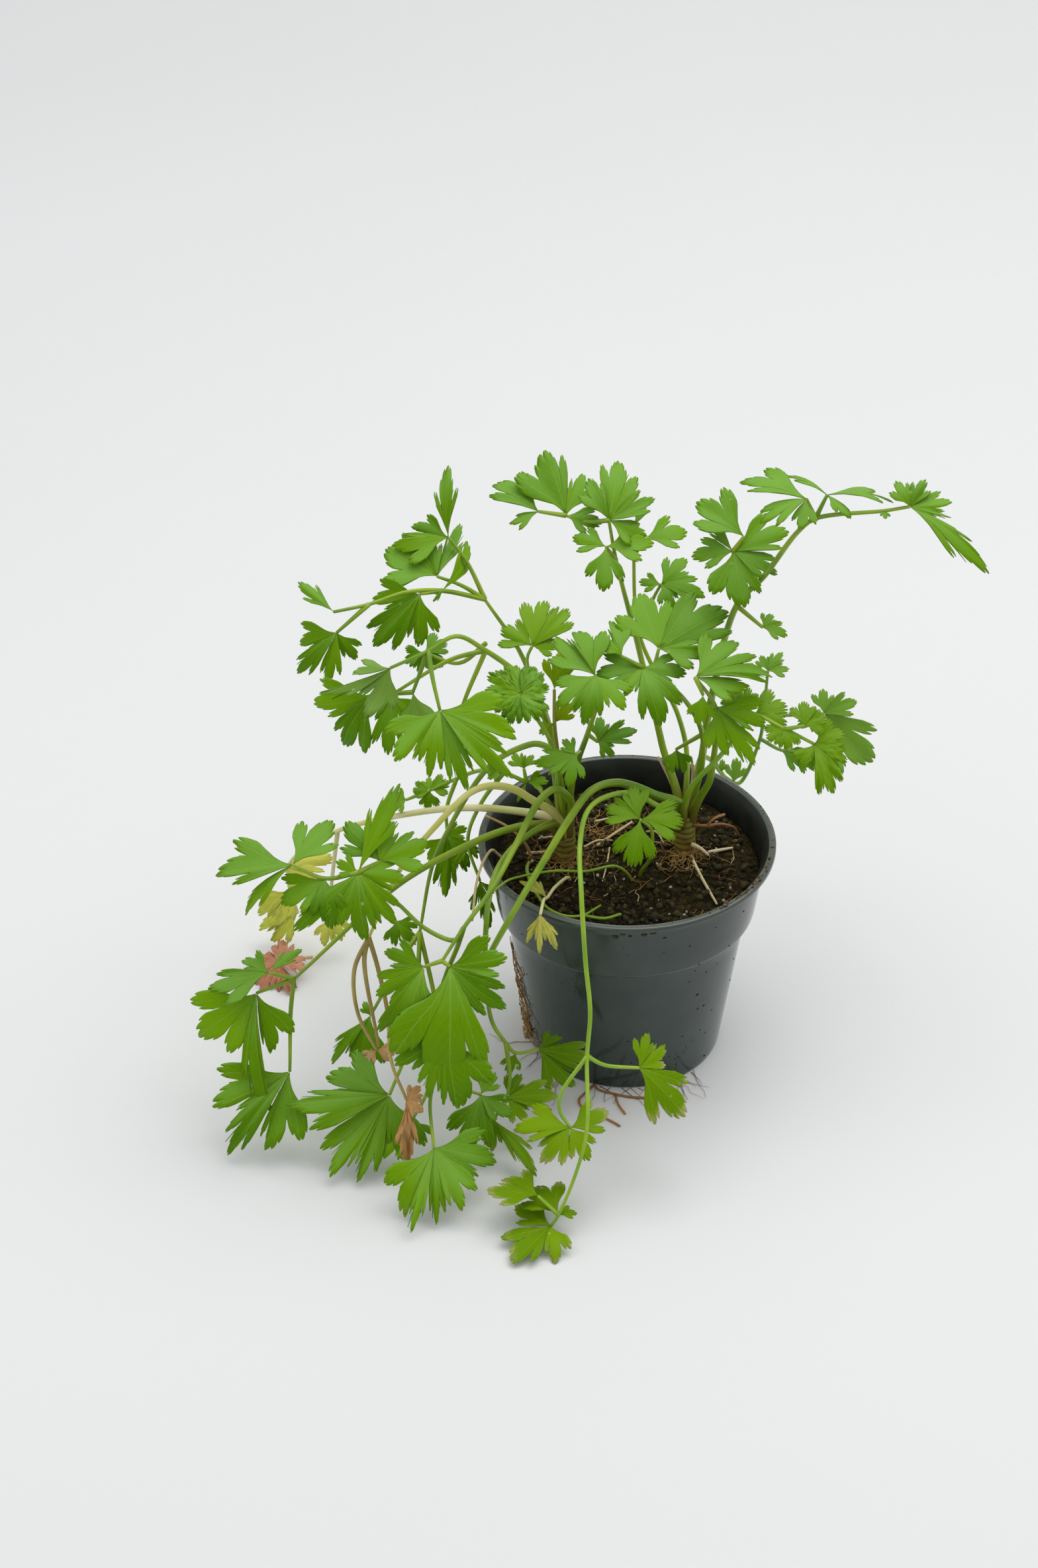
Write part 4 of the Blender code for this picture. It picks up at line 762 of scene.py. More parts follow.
stem_piece("stem_middle", "leaf_green", 1.4, [
    ((29.8, 11.4, 87), (29, 9, 117), (29, 4, 146), (21, -1, 166), (9, -5, 180), (5, -6, 183)),
    ((9, -5, 180), (11, -2, 189)),
    ((5, -6, 183), (-3, -6, 188)),
    ((29, 4, 146), (19, 8, 136)),
], [
    (0, (0, -0.55, 0.83), ("mid", -13, -9, 181), ("broad", 11, -25, 170), ("mid", -1, -17, 176),
     ("mid", 22, -7, 182)),
    (1, (0, -0.6, 0.8), ("broad", 4, 17, 203), ("broad", 38, 12, 200), ("mid", 31, -4, 188)),
    (2, (0, -0.55, 0.83), ("mid", -9, 7, 197), ("small", -9, 0, 193)),
    (3, (0, -0.85, 0.5), ("small", 17, 3, 128), ("small", 23, 3, 128)),
])
stem_piece("stem_inner_left", "leaf_green", 1.5, [
    ((-18, 3, 87), (-22, 4, 119), (-20, 2, 133), (-16, -3, 150), (-12, -8, 170), (-13, -12, 183)),
    ((-16, -3, 150), (-12, -4, 147)),
    ((-20, 2, 133), (-19, -14, 149), (-20, -26, 156)),
], [
    (0, (0, -0.55, 0.83), ("broad", -22, 4, 194), ("mid", -29, 3, 193), ("cut", -28, -22, 176),
     ("broad", -16, -28, 172), ("mid", -2, -24, 175)),
    (1, (0, -0.6, 0.8), ("small", -10, 5, 153), ("mid", 3, 1, 151), ("small", -5, -8, 144)),
    (2, (-0.1, -0.6, 0.8), ("mid", -36, -28, 152), ("small", -26, -21, 159), ("mid", -22, -36, 148)),
])
stem_piece("stem_bright", "leaf_bright", 1.1, [
    ((-29.6, 7.6, 87), (-29, 9, 122), (-33, 8, 148), (-40, 10, 176), (-38, 10, 182)),
], [
    (0, (0, -0.7, 0.8), ("clover", -32, 25, 194), ("clover", -23, 22, 191), ("clover", -50, 16, 187),
     ("clover", -28, 10, 182)),
])
stem_piece("stem_curly", "leaf_green", 1.3, [
    ((-25, -5, 87), (-26, -8, 121), (-29, -17, 153), (-41, -26, 183)),
], [
    (0, (0, -0.65, 0.76), ("fan", -53, -19, 189), ("fan", -47, -16, 191), ("fan", -36, -17, 191),
     ("fan", -30, -24, 185), ("fan", -34, -34, 176), ("fan", -45, -35, 175), ("fan", -51, -31, 179)),
])
stem_piece("stem_yellowing", "leaf_yellow", 1.1, [
    ((-20.2, 7.2, 87), (-26, 6, 116), (-28, 2, 138), (-29, -3, 155), (-29, -4, 171)),
], [
    (0, (0, -0.7, 0.7), ("mid", -27, 7, 182)),
    ((-29, -3, 155), (-0.2, -0.7, 0.7), ("small", -35, -5, 151), ("small", -22, 2, 162)),
])
stem_piece("stem_rim_left", "leaf_bright", 1.2, [
    ((-33.5, 9.5, 87), (-33, 12, 95), (-41, 15, 114)),
    ((-41, 15, 114), (-51, 16, 119)),
    ((-41, 15, 114), (-42, 16, 120)),
    ((-50, 16, 118), (-60, 20, 116), (-70, 24, 109), (-81, 24, 103)),
    ((-81, 24, 103), (-91, 24, 98)),
    ((-70, 24, 109), (-74, 20, 97), (-74, 18, 85)),
    ((-50, 16, 118), (-59, 12, 106), (-65, 10, 88), (-60, 4, 72)),
], [
    (0, (0, -0.7, 0.7), ("small", -32, 16, 115), ("narrow", -44, 9, 108)),
    (2, (0, -0.6, 0.8), ("small", -47, 22, 124), ("small", -39, 21, 124)),
    (1, (0, -0.6, 0.8), ("small", -57, 14, 117), ("small", -55, 20, 122)),
    (3, (0, -0.6, 0.8), ("fan", -88, 22, 103), ("fan", -73, 26, 106), ("small", -82, 30, 106),
     ("fan", -82, 20, 96)),
    (4, (-0.2, -0.6, 0.8), ("small", -97, 20, 95), ("small", -97, 28, 99)),
    (5, (0.1, -0.8, 0.6), ("mid", -82, 12, 75), ("mid", -73, 6, 62), ("small", -65, 12, 71),
     ("small", -66, 20, 88)),
    (6, (0.3, -0.8, 0.5), ("narrow", -57, 0, 49), ("narrow", -64, 2, 58), ("narrow", -54, 2, 67)),
    ((-65, 10, 88), (-0.3, -0.8, 0.5), ("narrow", -70, 7, 76), ("narrow", -61, 8, 80)),
])
stem_piece("stem_right", "leaf_green", 1.6, [
    ((30.2, 7.6, 87), (32, 2, 118), (34, -6, 149), (33, -14, 171), (25, -17, 186)),
    ((25, -17, 186), (28, -20, 180)),
], [
    (0, (0.1, -0.5, 0.86), ("mid", 42, 0, 194), ("broad", 55, -11, 186), ("mid", 46, -18, 183)),
    (1, (0, -0.85, 0.5), ("small", 27, -26, 170)),
    ((33, -14, 171), (0.2, -0.75, 0.6), ("cut", 39, -25, 156), ("broad", 49, -25, 151),
     ("cut", 52, -16, 162)),
])
stem_piece("stem_right_small", "leaf_bright", 1.2, [
    ((18.6, 3.8, 87), (22, -6, 114), (25, -8, 129), (35, -11, 145), (45, -10, 160), (48, -12, 166),
     (60, -17, 163), (71, -21, 159)),
    ((60, -17, 163), (67, -19, 166)),
    ((48, -12, 166), (44, -11, 169)),
], [
    (2, (0, -0.6, 0.8), ("fan", 37, -5, 173), ("fan", 45, -4, 174)),
    ((48, -12, 166), (0, -0.55, 0.83), ("fan", 61, -8, 169)),
    ((60, -17, 163), (0.05, -0.6, 0.8), ("fan", 53, -21, 160), ("fan", 61, -24, 158)),
    (1, (0, -0.6, 0.8), ("fan", 67, -11, 172), ("fan", 76, -17, 168)),
    (0, (0.05, -0.65, 0.75), ("fan", 83, -17, 162), ("fan", 84, -25, 154), ("fan", 68, -29, 153),
     ("fan", 79, -34, 145)),
])
stem_piece("stem_behind", "leaf_bluish", 1.1, [
    ((23.8, 15.8, 87), (27, 32, 101), (30, 52, 102), (36, 64, 92), (42, 72, 78), (48, 76, 73), (56, 79, 94),
     (57, 80, 105), (58, 81, 127)),
    ((56, 79, 94), (65, 78, 89), (72, 77, 89)),
    ((57, 80, 105), (70, 78, 107), (82, 75, 110)),
    ((36, 64, 92), (39, 66, 85)),
    ((42, 72, 78), (45, 70, 77)),
], [
    (0, (0, -0.55, 0.83), ("small", 64, 88, 132), ("small", 55, 87, 131), ("small", 67, 82, 128)),
    ((65, 78, 89), (0, -0.6, 0.8), ("mid", 77, 73, 85)),
    (1, (0.25, -0.75, 0.6), ("small", 81, 71, 84)),
    (2, (0.15, -0.7, 0.7), ("small", 82, 84, 117), ("mid", 96, 80, 114), ("small", 71, 71, 107),
     ("mid", 103, 74, 84)),
    (3, (0.2, -0.8, 0.55), ("small", 40, 69, 90)),
    (4, (0.1, -0.8, 0.55), ("small", 47, 76, 86)),
])
stem_piece("sprout_bright", "leaf_bright", 0.8, [
    ((5.5, -10, 87), (9, -15, 98), (10, -22, 112), (9, -29, 124), (5, -32, 130)),
], [
    (0, (0, -0.65, 0.78), ("clover", -8, -27, 134), ("clover", 0, -21, 138), ("clover", 22, -32, 130),
     ("clover", 2, -45, 117)),
])
stem_piece("stem_front_big", "leaf_green", 1.7, [
    ((-20.5, -3.6, 87), (-22, -10, 121), (-28, -15, 132), (-34, -21, 131), (-43, -36, 120), (-52, -54, 111),
     (-62, -66, 102), (-70, -74, 92)),
    ((-62, -66, 102), (-65, -65, 91), (-69, -66, 80), (-75, -72, 59), (-75, -74, 42), (-66, -77, 32),
     (-56, -80, 30)),
    ((-62, -66, 102), (-66, -65, 95), (-77, -62, 98), (-88, -60, 109), (-102, -61, 124)),
    ((-102, -61, 124), (-115, -60, 120), (-127, -61, 127)),
    ((-70, -74, 92), (-77, -74, 89)),
    ((-70, -74, 92), (-67, -76, 91)),
    ((-75, -72, 59), (-69, -86, 66)),
    ((-102, -61, 124), (-94, -58, 127)),
], [
    (4, (-0.1, -0.85, 0.5), ("mid", -93, -70, 93), ("cut", -97, -78, 78), ("cut", -86, -92, 60)),
    (5, (0, -0.85, 0.5), ("cut", -45, -74, 95), ("cut", -46, -85, 76), ("broad", -64, -99, 51)),
    (6, (0.05, -0.85, 0.5), ("cut", -87, -94, 54), ("broad", -63, -101, 40), ("cut", -75, -99, 44)),
    (1, (0.1, -0.7, 0.7), ("small", -51, -73, 36), ("cut", -62, -96, 14), ("mid", -44, -86, 23)),
    (2, (-0.1, -0.8, 0.6), ("small", -111, -58, 126), ("narrow", -87, -44, 154), ("narrow", -126, -71, 101),
     ("cut", -99, -75, 101), ("cut", -87, -71, 107), ("mid", -84, -62, 121)),
    (7, (0, -0.7, 0.7), ("broad", -77, -51, 134), ("mid", -88, -47, 138), ("mid", -108, -47, 138)),
    ((-115, -60, 120), (-0.1, -0.7, 0.7), ("mid", -132, -65, 111), ("mid", -112, -73, 106)),
    (3, (-0.2, -0.45, 0.87), ("mid", -113, -43, 135), ("mid", -158, -62, 123), ("narrow", -149, -67, 109)),
])
stem_piece("stem_front_long", "leaf_green", 1.7, [
    ((16.6, 7.2, 87), (20, -2, 113), (14, -5, 121), (-4, -13, 134), (-14, -20, 135), (-22, -30, 129),
     (-32, -44, 118), (-42, -56, 105), (-52, -65, 89), (-63, -72, 65), (-70, -80, 48), (-75, -88, 36),
     (-73, -105, 24)),
], [
    (0, (0, -0.6, 0.8), ("cut", -85, -124, 6), ("mid", -79, -131, 3), ("cut", -71, -128, 6),
     ("mid", -48, -105, 19), ("cut", -61, -124, 9)),
])
stem_piece("stem_trail_left", "leaf_green", 1.6, [
    ((-35, -3, 87), (-33, -4, 97), (-40, -8, 105), (-49, -12, 109), (-60, -18, 108), (-88, -30, 97),
     (-131, -52, 64)),
    ((-131, -52, 64), (-140, -56, 70)),
    ((-131, -52, 64), (-145, -60, 63)),
    ((-131, -52, 64), (-132, -60, 53), (-132, -70, 38), (-132, -73, 34)),
], [
    (1, (0.1, -0.45, 0.88), ("cut", -164, -60, 66), ("small", -152, -50, 71), ("narrow", -129, -41, 73)),
    (2, (-0.15, -0.8, 0.6), ("cut", -169, -68, 44), ("narrow", -142, -85, 21), ("cut", -138, -72, 42)),
    (3, (-0.1, -0.75, 0.65), ("mid", -161, -82, 19), ("cut", -156, -94, 6), ("cut", -142, -93, 10)),
])
stem_piece("stem_trail_deep", "leaf_green", 1.4, [
    ((-31, -1.5, 87), (-28, -2, 115), (-29, -9, 145), (-35, -9, 149), (-41, -8, 147), (-54, -8, 138),
     (-71, -9, 108), (-78, -12, 91), (-83, -23, 66)),
    ((-83, -23, 66), (-88, -28, 60), (-102, -46, 41)),
    ((-83, -23, 66), (-83, -38, 55), (-83, -58, 45), (-92, -80, 29)),
    ((-83, -23, 66), (-76, -42, 44), (-74, -60, 34), (-79, -76, 23), (-83, -84, 20)),
], [
    (1, (-0.2, -0.8, 0.55), ("narrow", -119, -55, 22), ("cut", -107, -58, 22), ("small", -105, -42, 45)),
    (2, (0, -0.65, 0.75), ("broad", -118, -76, 33), ("mid", -132, -88, 26), ("cut", -114, -102, 4),
     ("cut", -104, -103, 3), ("mid", -88, -97, 10)),
    (3, (0, -0.65, 0.75), ("mid", -97, -96, 8), ("small", -78, -92, 13)),
    ((-96, 10, 46), (0, -0.8, 0.6), ("mid", -87, 10, 42), ("small", -88, 6, 35), ("small", -95, 4, 37)),
])
stem_piece("stem_pale", "leaf_pale", 1.6, [
    ((-36, 5, 87), (-35, 6, 103), (-41, 7, 105), (-67, 12, 103), (-96, 22, 91), (-121, 32, 76),
     (-140, 39, 58), (-145, 42, 49)),
    ((-145, 42, 49), (-145, 47, 33), (-143, 52, 17)),
    ((-121, 32, 76), (-127, 44, 34), (-128, 48, 18)),
], [
    (0, (-0.1, -0.6, 0.8), ("mid", -125, 44, 53), ("mid", -131, 33, 44)),
    ((-145, 47, 33), (-0.1, -0.75, 0.65), ("mid", -159, 41, 23), ("mid", -150, 37, 21)),
    (1, (-0.1, -0.7, 0.7), ("mid", -161, 49, 11), ("mid", -156, 45, 8)),
    (2, (0, -0.7, 0.7), ("mid", -131, 39, 9), ("small", -122, 41, 11)),
])
stem_piece("stem_dry", "dry_leaf", 1.7, [
    ((-29, -6.5, 87), (-29, -8, 108), (-42, -11, 127), (-52, -15, 133), (-61, -24, 136), (-75, -36, 127),
     (-88, -45, 113), (-100, -55, 88)),
    ((-100, -55, 88), (-106, -58, 74), (-105, -62, 55), (-98, -66, 40)),
    ((-100, -55, 88), (-102, -57, 78), (-97, -66, 42)),
    ((-100, -55, 88), (-97, -56, 74), (-93, -64, 57), (-91, -78, 45), (-84, -94, 39)),
], [
    (1, (0, -0.8, 0.6), ("small", -103, -69, 36), ("small", -90, -67, 39)),
    (3, (0.1, -0.8, 0.6), ("narrow", -83, -106, 14), ("small", -79, -90, 43), ("small", -77, -97, 36)),
])
stem_piece("stem_front_thin", "leaf_bright", 1.1, [
    ((13, 0, 87), (16, -12, 115), (10, -14, 125), (0, -17, 132), (-12, -26, 134), (-16, -32, 132),
     (-18, -42, 125), (-17, -62, 116), (-15, -74, 92), (-13, -84, 76), (-14, -92, 61), (-14, -113, 38),
     (-24, -125, 9), (-27, -126, 4)),
    ((-14, -92, 61), (-24, -99, 47), (-24, -102, 41), (-20, -105, 36)),
    ((-14, -92, 61), (-7, -90, 55), (6, -90, 54)),
    ((-24, -125, 9), (-32, -121, 15)),
], [
    (0, (0, -0.04, 1), ("mid", -42, -117, 4), ("broad", -39, -146, 3), ("mid", -26, -143, 3)),
    ((-24, -125, 9), (0, -0.1, 0.99), ("small", -17, -123, 9), ("broad", -36, -110, 10)),
    (3, (0, -0.1, 0.99), ("mid", -52, -120, 15), ("mid", -46, -110, 16)),
    (1, (0.05, -0.5, 0.86), ("mid", -42, -105, 36), ("mid", -32, -116, 29), ("mid", -5, -98, 38),
     ("mid", -12, -115, 29)),
    (2, (0.15, -0.7, 0.7), ("mid", 11, -80, 63), ("small", 17, -83, 59), ("mid", 25, -98, 38)),
])
stem_piece("stem_floor", "leaf_green", 1.3, [
    ((-28, -10, 87), (-30, -10, 106), (-39, -16, 110), (-47, -26, 108), (-52, -40, 105), (-54, -56, 95),
     (-54, -62, 73), (-52, -62, 52), (-47, -60, 40), (-43, -58, 33), (-34, -54, 32)),
    ((-47, -60, 40), (-45, -68, 29), (-46, -74, 23)),
    ((-46, -74, 23), (-51, -80, 17)),
], [
    (0, (0.1, -0.8, 0.6), ("small", -25, -50, 36), ("broad", -12, -55, 28), ("mid", -19, -62, 19)),
    ((-43, -58, 33), (0, -0.6, 0.8), ("small", -46, -65, 28)),
    (1, (0.05, -0.6, 0.8), ("small", -40, -66, 29), ("broad", -26, -71, 24), ("small", -37, -80, 18)),
    (2, (0, -0.5, 0.86), ("small", -57, -85, 14), ("mid", -51, -91, 10), ("narrow", -33, -99, 6)),
])
stem_piece("sprout_withered", "leaf_pale", 0.7, [
    ((-23, -13, 87), (-28, -24, 91), (-31, -37, 95), (-32, -45, 100), (-33, -54, 100)),
], [
    ((-31, -37, 95), (0, -0.4, 0.9), ("narrow", -42, -32, 100), ("narrow", -38, -29, 99)),
    (0, (0, -0.8, 0.6), ("narrow", -38, -62, 92), ("narrow", -34, -66, 90), ("narrow", -26, -65, 92)),
])
stem_piece("sprout_arc", "leaf_bright", 0.8, [
    ((-39, -3, 87), (-40, -9, 89), (-39, -17, 90), (-35, -29, 90), (-30, -38, 90), (-23, -42, 90),
     (-17, -40, 89), (-10, -32, 88)),
    ((-17, -40, 89), (-8, -43, 90), (-2, -40, 90)),
])
stem_piece("sprout_thread", "leaf_bright", 0.6, [
    ((2, -13, 87), (-4, -14, 94), (-16, -19, 95), (-28, -19, 95), (-36, -21, 95), (-42, -26, 97),
     (-47, -33, 100), (-53, -40, 99)),
])
stem_piece("stalk_pink", "dry_leaf", 0.7, [
    ((-39, 2, 87), (-42, 1, 95), (-48, 2, 101), (-57, 4, 105)),
])
stem_piece("stub_left", "straw", 1.1, [
    ((16.4, 19.5, 87), (16, 24, 104), (11, 26, 121)),
])
stem_piece("husk_right", "straw", 0.9, [
    ((24, 9.5, 103.8), (25.5, 9.5, 115), (26, 9, 125), (25, 9, 132)),
])
stem_piece("root_orange", "root_brown", 0.6, [
    ((27, 2.5, 103), (32, 1, 104), (37, 5, 102), (41, 11, 97), (44, 16, 92), (46, 17, 87.2)),
    ((32, 1, 104), (35, 2, 107), (39, 6, 106)),
])
stem_piece("straw_upper", "straw", 0.95, [
    ((26.2, 5.2, 91.5), (30, 3, 91), (33, 0, 90)),
])
stem_piece("straw_flat", "straw", 0.8, [
    ((33, 5.5, 87.3), (37, 7, 87.3), (43, 9, 87.3)),
])
stem_piece("straw_front", "straw", 0.7, [
    ((26, 2.5, 87.6), (30, -11, 87.3), (36, -29, 87.3)),
])
stem_piece("wisp_left", "straw", 0.6, [
    ((-48, -3, 86.4), (-52, -7, 94), (-54, -12, 99.5), (-57, -22, 100.5), (-59, -34, 98.5), (-60, -46, 90)),
])
stem_piece("root_front", "root_brown", 0.5, [
    ((-12, -38.8, 0.6), (-15, -43.5, 0.6), (-18, -48.5, 0.6), (-17, -52.5, 0.6), (-14, -55.5, 0.6),
     (-10, -57.5, 0.6), (-4, -61.5, 0.6), (-1, -64, 0.6)),
    ((-12, -38.8, 0.6), (-10, -42, 0.6), (-3, -44.5, 0.6), (2, -46, 0.6), (9, -46.5, 0.6)),
    ((-3, -44.5, 0.6), (-2, -50.5, 0.6), (1, -56.5, 0.6)),
])
stem_piece("dried_leaf", "dry_leaf", 0.8, [
    ((-136, 38, 3.5), (-143, 36, 4), (-150, 32, 4.5)),
], [
    (0, (0, -0.05, 1), ("cut", -166, 29, 1.5), ("cut", -161, 40, 3.5), ("cut", -150, 46, 6.5),
     ("cut", -138, 24, 6.5), ("cut", -144, 15, 1.5), ("cut", -156, 17, 2.5)),
])


# The pot
def circle(radius, height, steps):
    """Points round the Z axis."""
    turns = [math.tau * number / steps for number in range(steps)]
    return [(radius * math.cos(turn), radius * math.sin(turn), height) for turn in turns]


def turned(name, profile, steps):
    """A profile of (radius, height) in millimetres turned about the Z axis."""
    verts = [point for radius, height in profile for point in circle(radius, height, steps)]
    obj = add_object(name, verts, ring_faces(len(profile), steps))
    bm = bmesh.new()
    bm.from_mesh(obj.data)
    bmesh.ops.remove_doubles(bm, verts=bm.verts, dist=0.000001)
    bmesh.ops.recalc_face_normals(bm, faces=bm.faces)
    bm.to_mesh(obj.data)
    bm.free()
    obj.data.polygons.foreach_set("use_smooth", [True] * len(obj.data.polygons))
    return obj


def wall_radius(height):
    """The pot's radius outside, at a height."""
    return BASE_RADIUS + TAPER * height + (STEP_DEPTH if height > STEP_HEIGHT else 0)


def wall(heights, inset=0.0):
    """Points of the pot's profile on its wall."""
    return [(wall_radius(height) - inset, height) for height in heights]


def pot_profile():
    """The pot's outside from the middle of its underside up to the lip, then its inside down to the floor."""
    lip_bottom = POT_HEIGHT - LIP_HEIGHT
    under_lip = wall_radius(lip_bottom)
    step_radius = wall_radius(STEP_HEIGHT)
    lip_inside = RIM_RADIUS - LIP_WIDTH
    base = [(0, 0.6), (BASE_RADIUS - 6, 0.6), (BASE_RADIUS - 4.5, 0), (BASE_RADIUS - 0.9, 0)]
    base += [(BASE_RADIUS - 0.2, 0.25), (BASE_RADIUS + 0.1, 1.0)]
    step = []
    for share in (0, 0.12, 0.5, 0.88, 1):
        step.append((step_radius + share * STEP_DEPTH, STEP_HEIGHT - 0.9 + share * 1.9))
    lip = [(under_lip - 0.1, lip_bottom - 0.35), (under_lip + 0.35, lip_bottom)]
    lip += [(RIM_RADIUS - 0.5, lip_bottom + 0.05), (RIM_RADIUS, lip_bottom + 0.5)]
    lip += [(RIM_RADIUS, POT_HEIGHT - 0.7), (RIM_RADIUS - 0.25, POT_HEIGHT - 0.2), (RIM_RADIUS - 0.8, POT_HEIGHT)]
    lip += [(lip_inside + 0.3, POT_HEIGHT), (lip_inside - 0.2, POT_HEIGHT - 0.5)]
    outside = base + wall((4, 12, 24, 36, 48, 58, 65.6)) + step + wall((69.4, 76, 84, 91)) + lip
    inside = wall((94, 88, 80, 70.5), WALL) + [(step_radius - WALL, STEP_HEIGHT + 0.8)]
    return outside + inside + wall((40, FLOOR), WALL) + [(0, FLOOR)]


def cut_drains(pot):
    """Cuts the drain holes through the pot's floor, as in part.py."""
    bm = bmesh.new()
    size = DRAIN_RADIUS * MM
    for number in range(DRAIN_HOLES):
        angle = math.tau * (number + 0.5) / DRAIN_HOLES
        x, y = DRAIN_RING * math.cos(angle) * MM, DRAIN_RING * math.sin(angle) * MM
        place = Matrix.Translation((x, y, FLOOR / 2 * MM))
        bmesh.ops.create_cone(
            bm, cap_ends=True, segments=32, radius1=size, radius2=size, depth=2 * size, matrix=place
        )
    mesh = bpy.data.meshes.new("drains")
    bm.to_mesh(mesh)
    bm.free()
    drains = bpy.data.objects.new("drains", mesh)
    bpy.context.scene.collection.objects.link(drains)
    cut = pot.modifiers.new("drains", "BOOLEAN")
    cut.object = drains
    cut.solver = "EXACT"
    pot.data = bpy.data.meshes.new_from_object(pot.evaluated_get(bpy.context.evaluated_depsgraph_get()))
    pot.modifiers.clear()
    bpy.data.objects.remove(drains)
    bpy.data.meshes.remove(mesh)


pot = turned("pot_smooth", pot_profile(), 128)
cut_drains(pot)
pot.data.materials.append(pot_material())
pot.data.materials.append(POT_INSIDE_SHADE)
# The faces of the inner wall take the painted shade
for polygon in pot.data.polygons:
    centre, normal = polygon.center, polygon.normal
    if normal.x * centre.x + normal.y * centre.y < 0 and centre.z < (POT_HEIGHT - 0.6) * MM:
        polygon.material_index = 1
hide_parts("pot")
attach(pot, "root")


# The soil: a crumbly top on a plain body
def soil_height(x, y):
    """The height of the soil's surface: rough all over, and lower along the pot's wall."""
    point = Vector((x, y, 0))
    height = 1.1 * noise.noise(point * 0.09) + 1.0 * noise.noise(point * 0.25 + Vector((7, 3, 1)))
    height += 1.1 * abs(noise.noise(point * 0.62 + Vector((1, 9, 4)))) + 0.5 * noise.noise(point * 1.4)
    edge = wall_radius(SOIL_TOP) - WALL
    return SOIL_TOP + height - 1.3 * max(0, (math.hypot(x, y) / edge - 0.86) / 0.14) ** 2


def make_soil():
    """The soil as one closed piece: rings of its surface, then one at the pot's step and one at its floor."""
    rings, steps, bottom = 84, 168, FLOOR + 0.4
    edge = wall_radius(SOIL_TOP) - WALL - 0.3
    verts = [(0, 0, soil_height(0, 0))]
    for ring in range(1, rings + 1):
        radius = edge * ring / rings
        for number in range(steps):
            angle = math.tau * (number + 0.5 * (ring % 2)) / steps
            x, y = radius * math.cos(angle), radius * math.sin(angle)
            verts.append((x, y, soil_height(x, y)))
    for height, level in ((STEP_HEIGHT, STEP_HEIGHT), (bottom, 2)):
        verts += circle(wall_radius(level) - WALL - 0.4, height, steps)
    verts.append((0, 0, bottom))
    faces = ring_faces(rings + 2, steps, 1, inward=True)
    last = 1 + (rings + 1) * steps
    for number in range(steps):
        after = (number + 1) % steps
        faces += [(0, 1 + number, 1 + after), (last + number, len(verts) - 1, last + after)]
    return add_object("soil_fine", verts, faces)


soil = make_soil()
soil.data.materials.append(soil_material())
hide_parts("soil")
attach(soil, "root")

# Loose lumps, bits of bark and white grains: how many, then the least and the greatest radius and its power
CRUMBS = ((860, 0.3, 1.45, 1.3), (100, 0.4, 1.3, 1), (90, 0.35, 0.75, 1))
CROWN_ROOM = 5.5


def crumbs():
    """Loose lumps on the soil, as one piece with three looks."""
    rng = random.Random(11)
    sheets = Sheets()
    base, corners = ball()
    kinds = [look for look, (count, *_) in enumerate(CRUMBS) for _ in range(count)]
    for number, look in enumerate(kinds):
        _, low, high, power = CRUMBS[look]
        radius = (wall_radius(SOIL_TOP) - 5) * math.sqrt(rng.random())
        angle = rng.uniform(0, math.tau)
        x, y = radius * math.cos(angle), radius * math.sin(angle)
        size = rng.uniform(low, high) ** power
        gap = min(math.hypot(x - crown[0], y - crown[1]) for crown in (CROWN_LEFT, CROWN_RIGHT))
        if gap < CROWN_ROOM + size:
            continue
        stretch = np.array([rng.uniform(0.7, 1.3), rng.uniform(0.7, 1.3), rng.uniform(0.6, 1.0)])
        points = base * bumps(base, 0.35, 1.7, (number, 0, 0)) * stretch * size
        spin, axis = rng.uniform(0, math.tau), Vector((rng.random(), rng.random(), 0.3)).normalized()
        points = points @ np.array(Matrix.Rotation(spin, 3, axis)).T + (x, y, soil_height(x, y) + size * 0.35)
        sheets.add(points, corners, look)
    obj = sheets.finish("soil_crumbs", [CRUMB, BARK, PERLITE])
    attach(obj, "root")


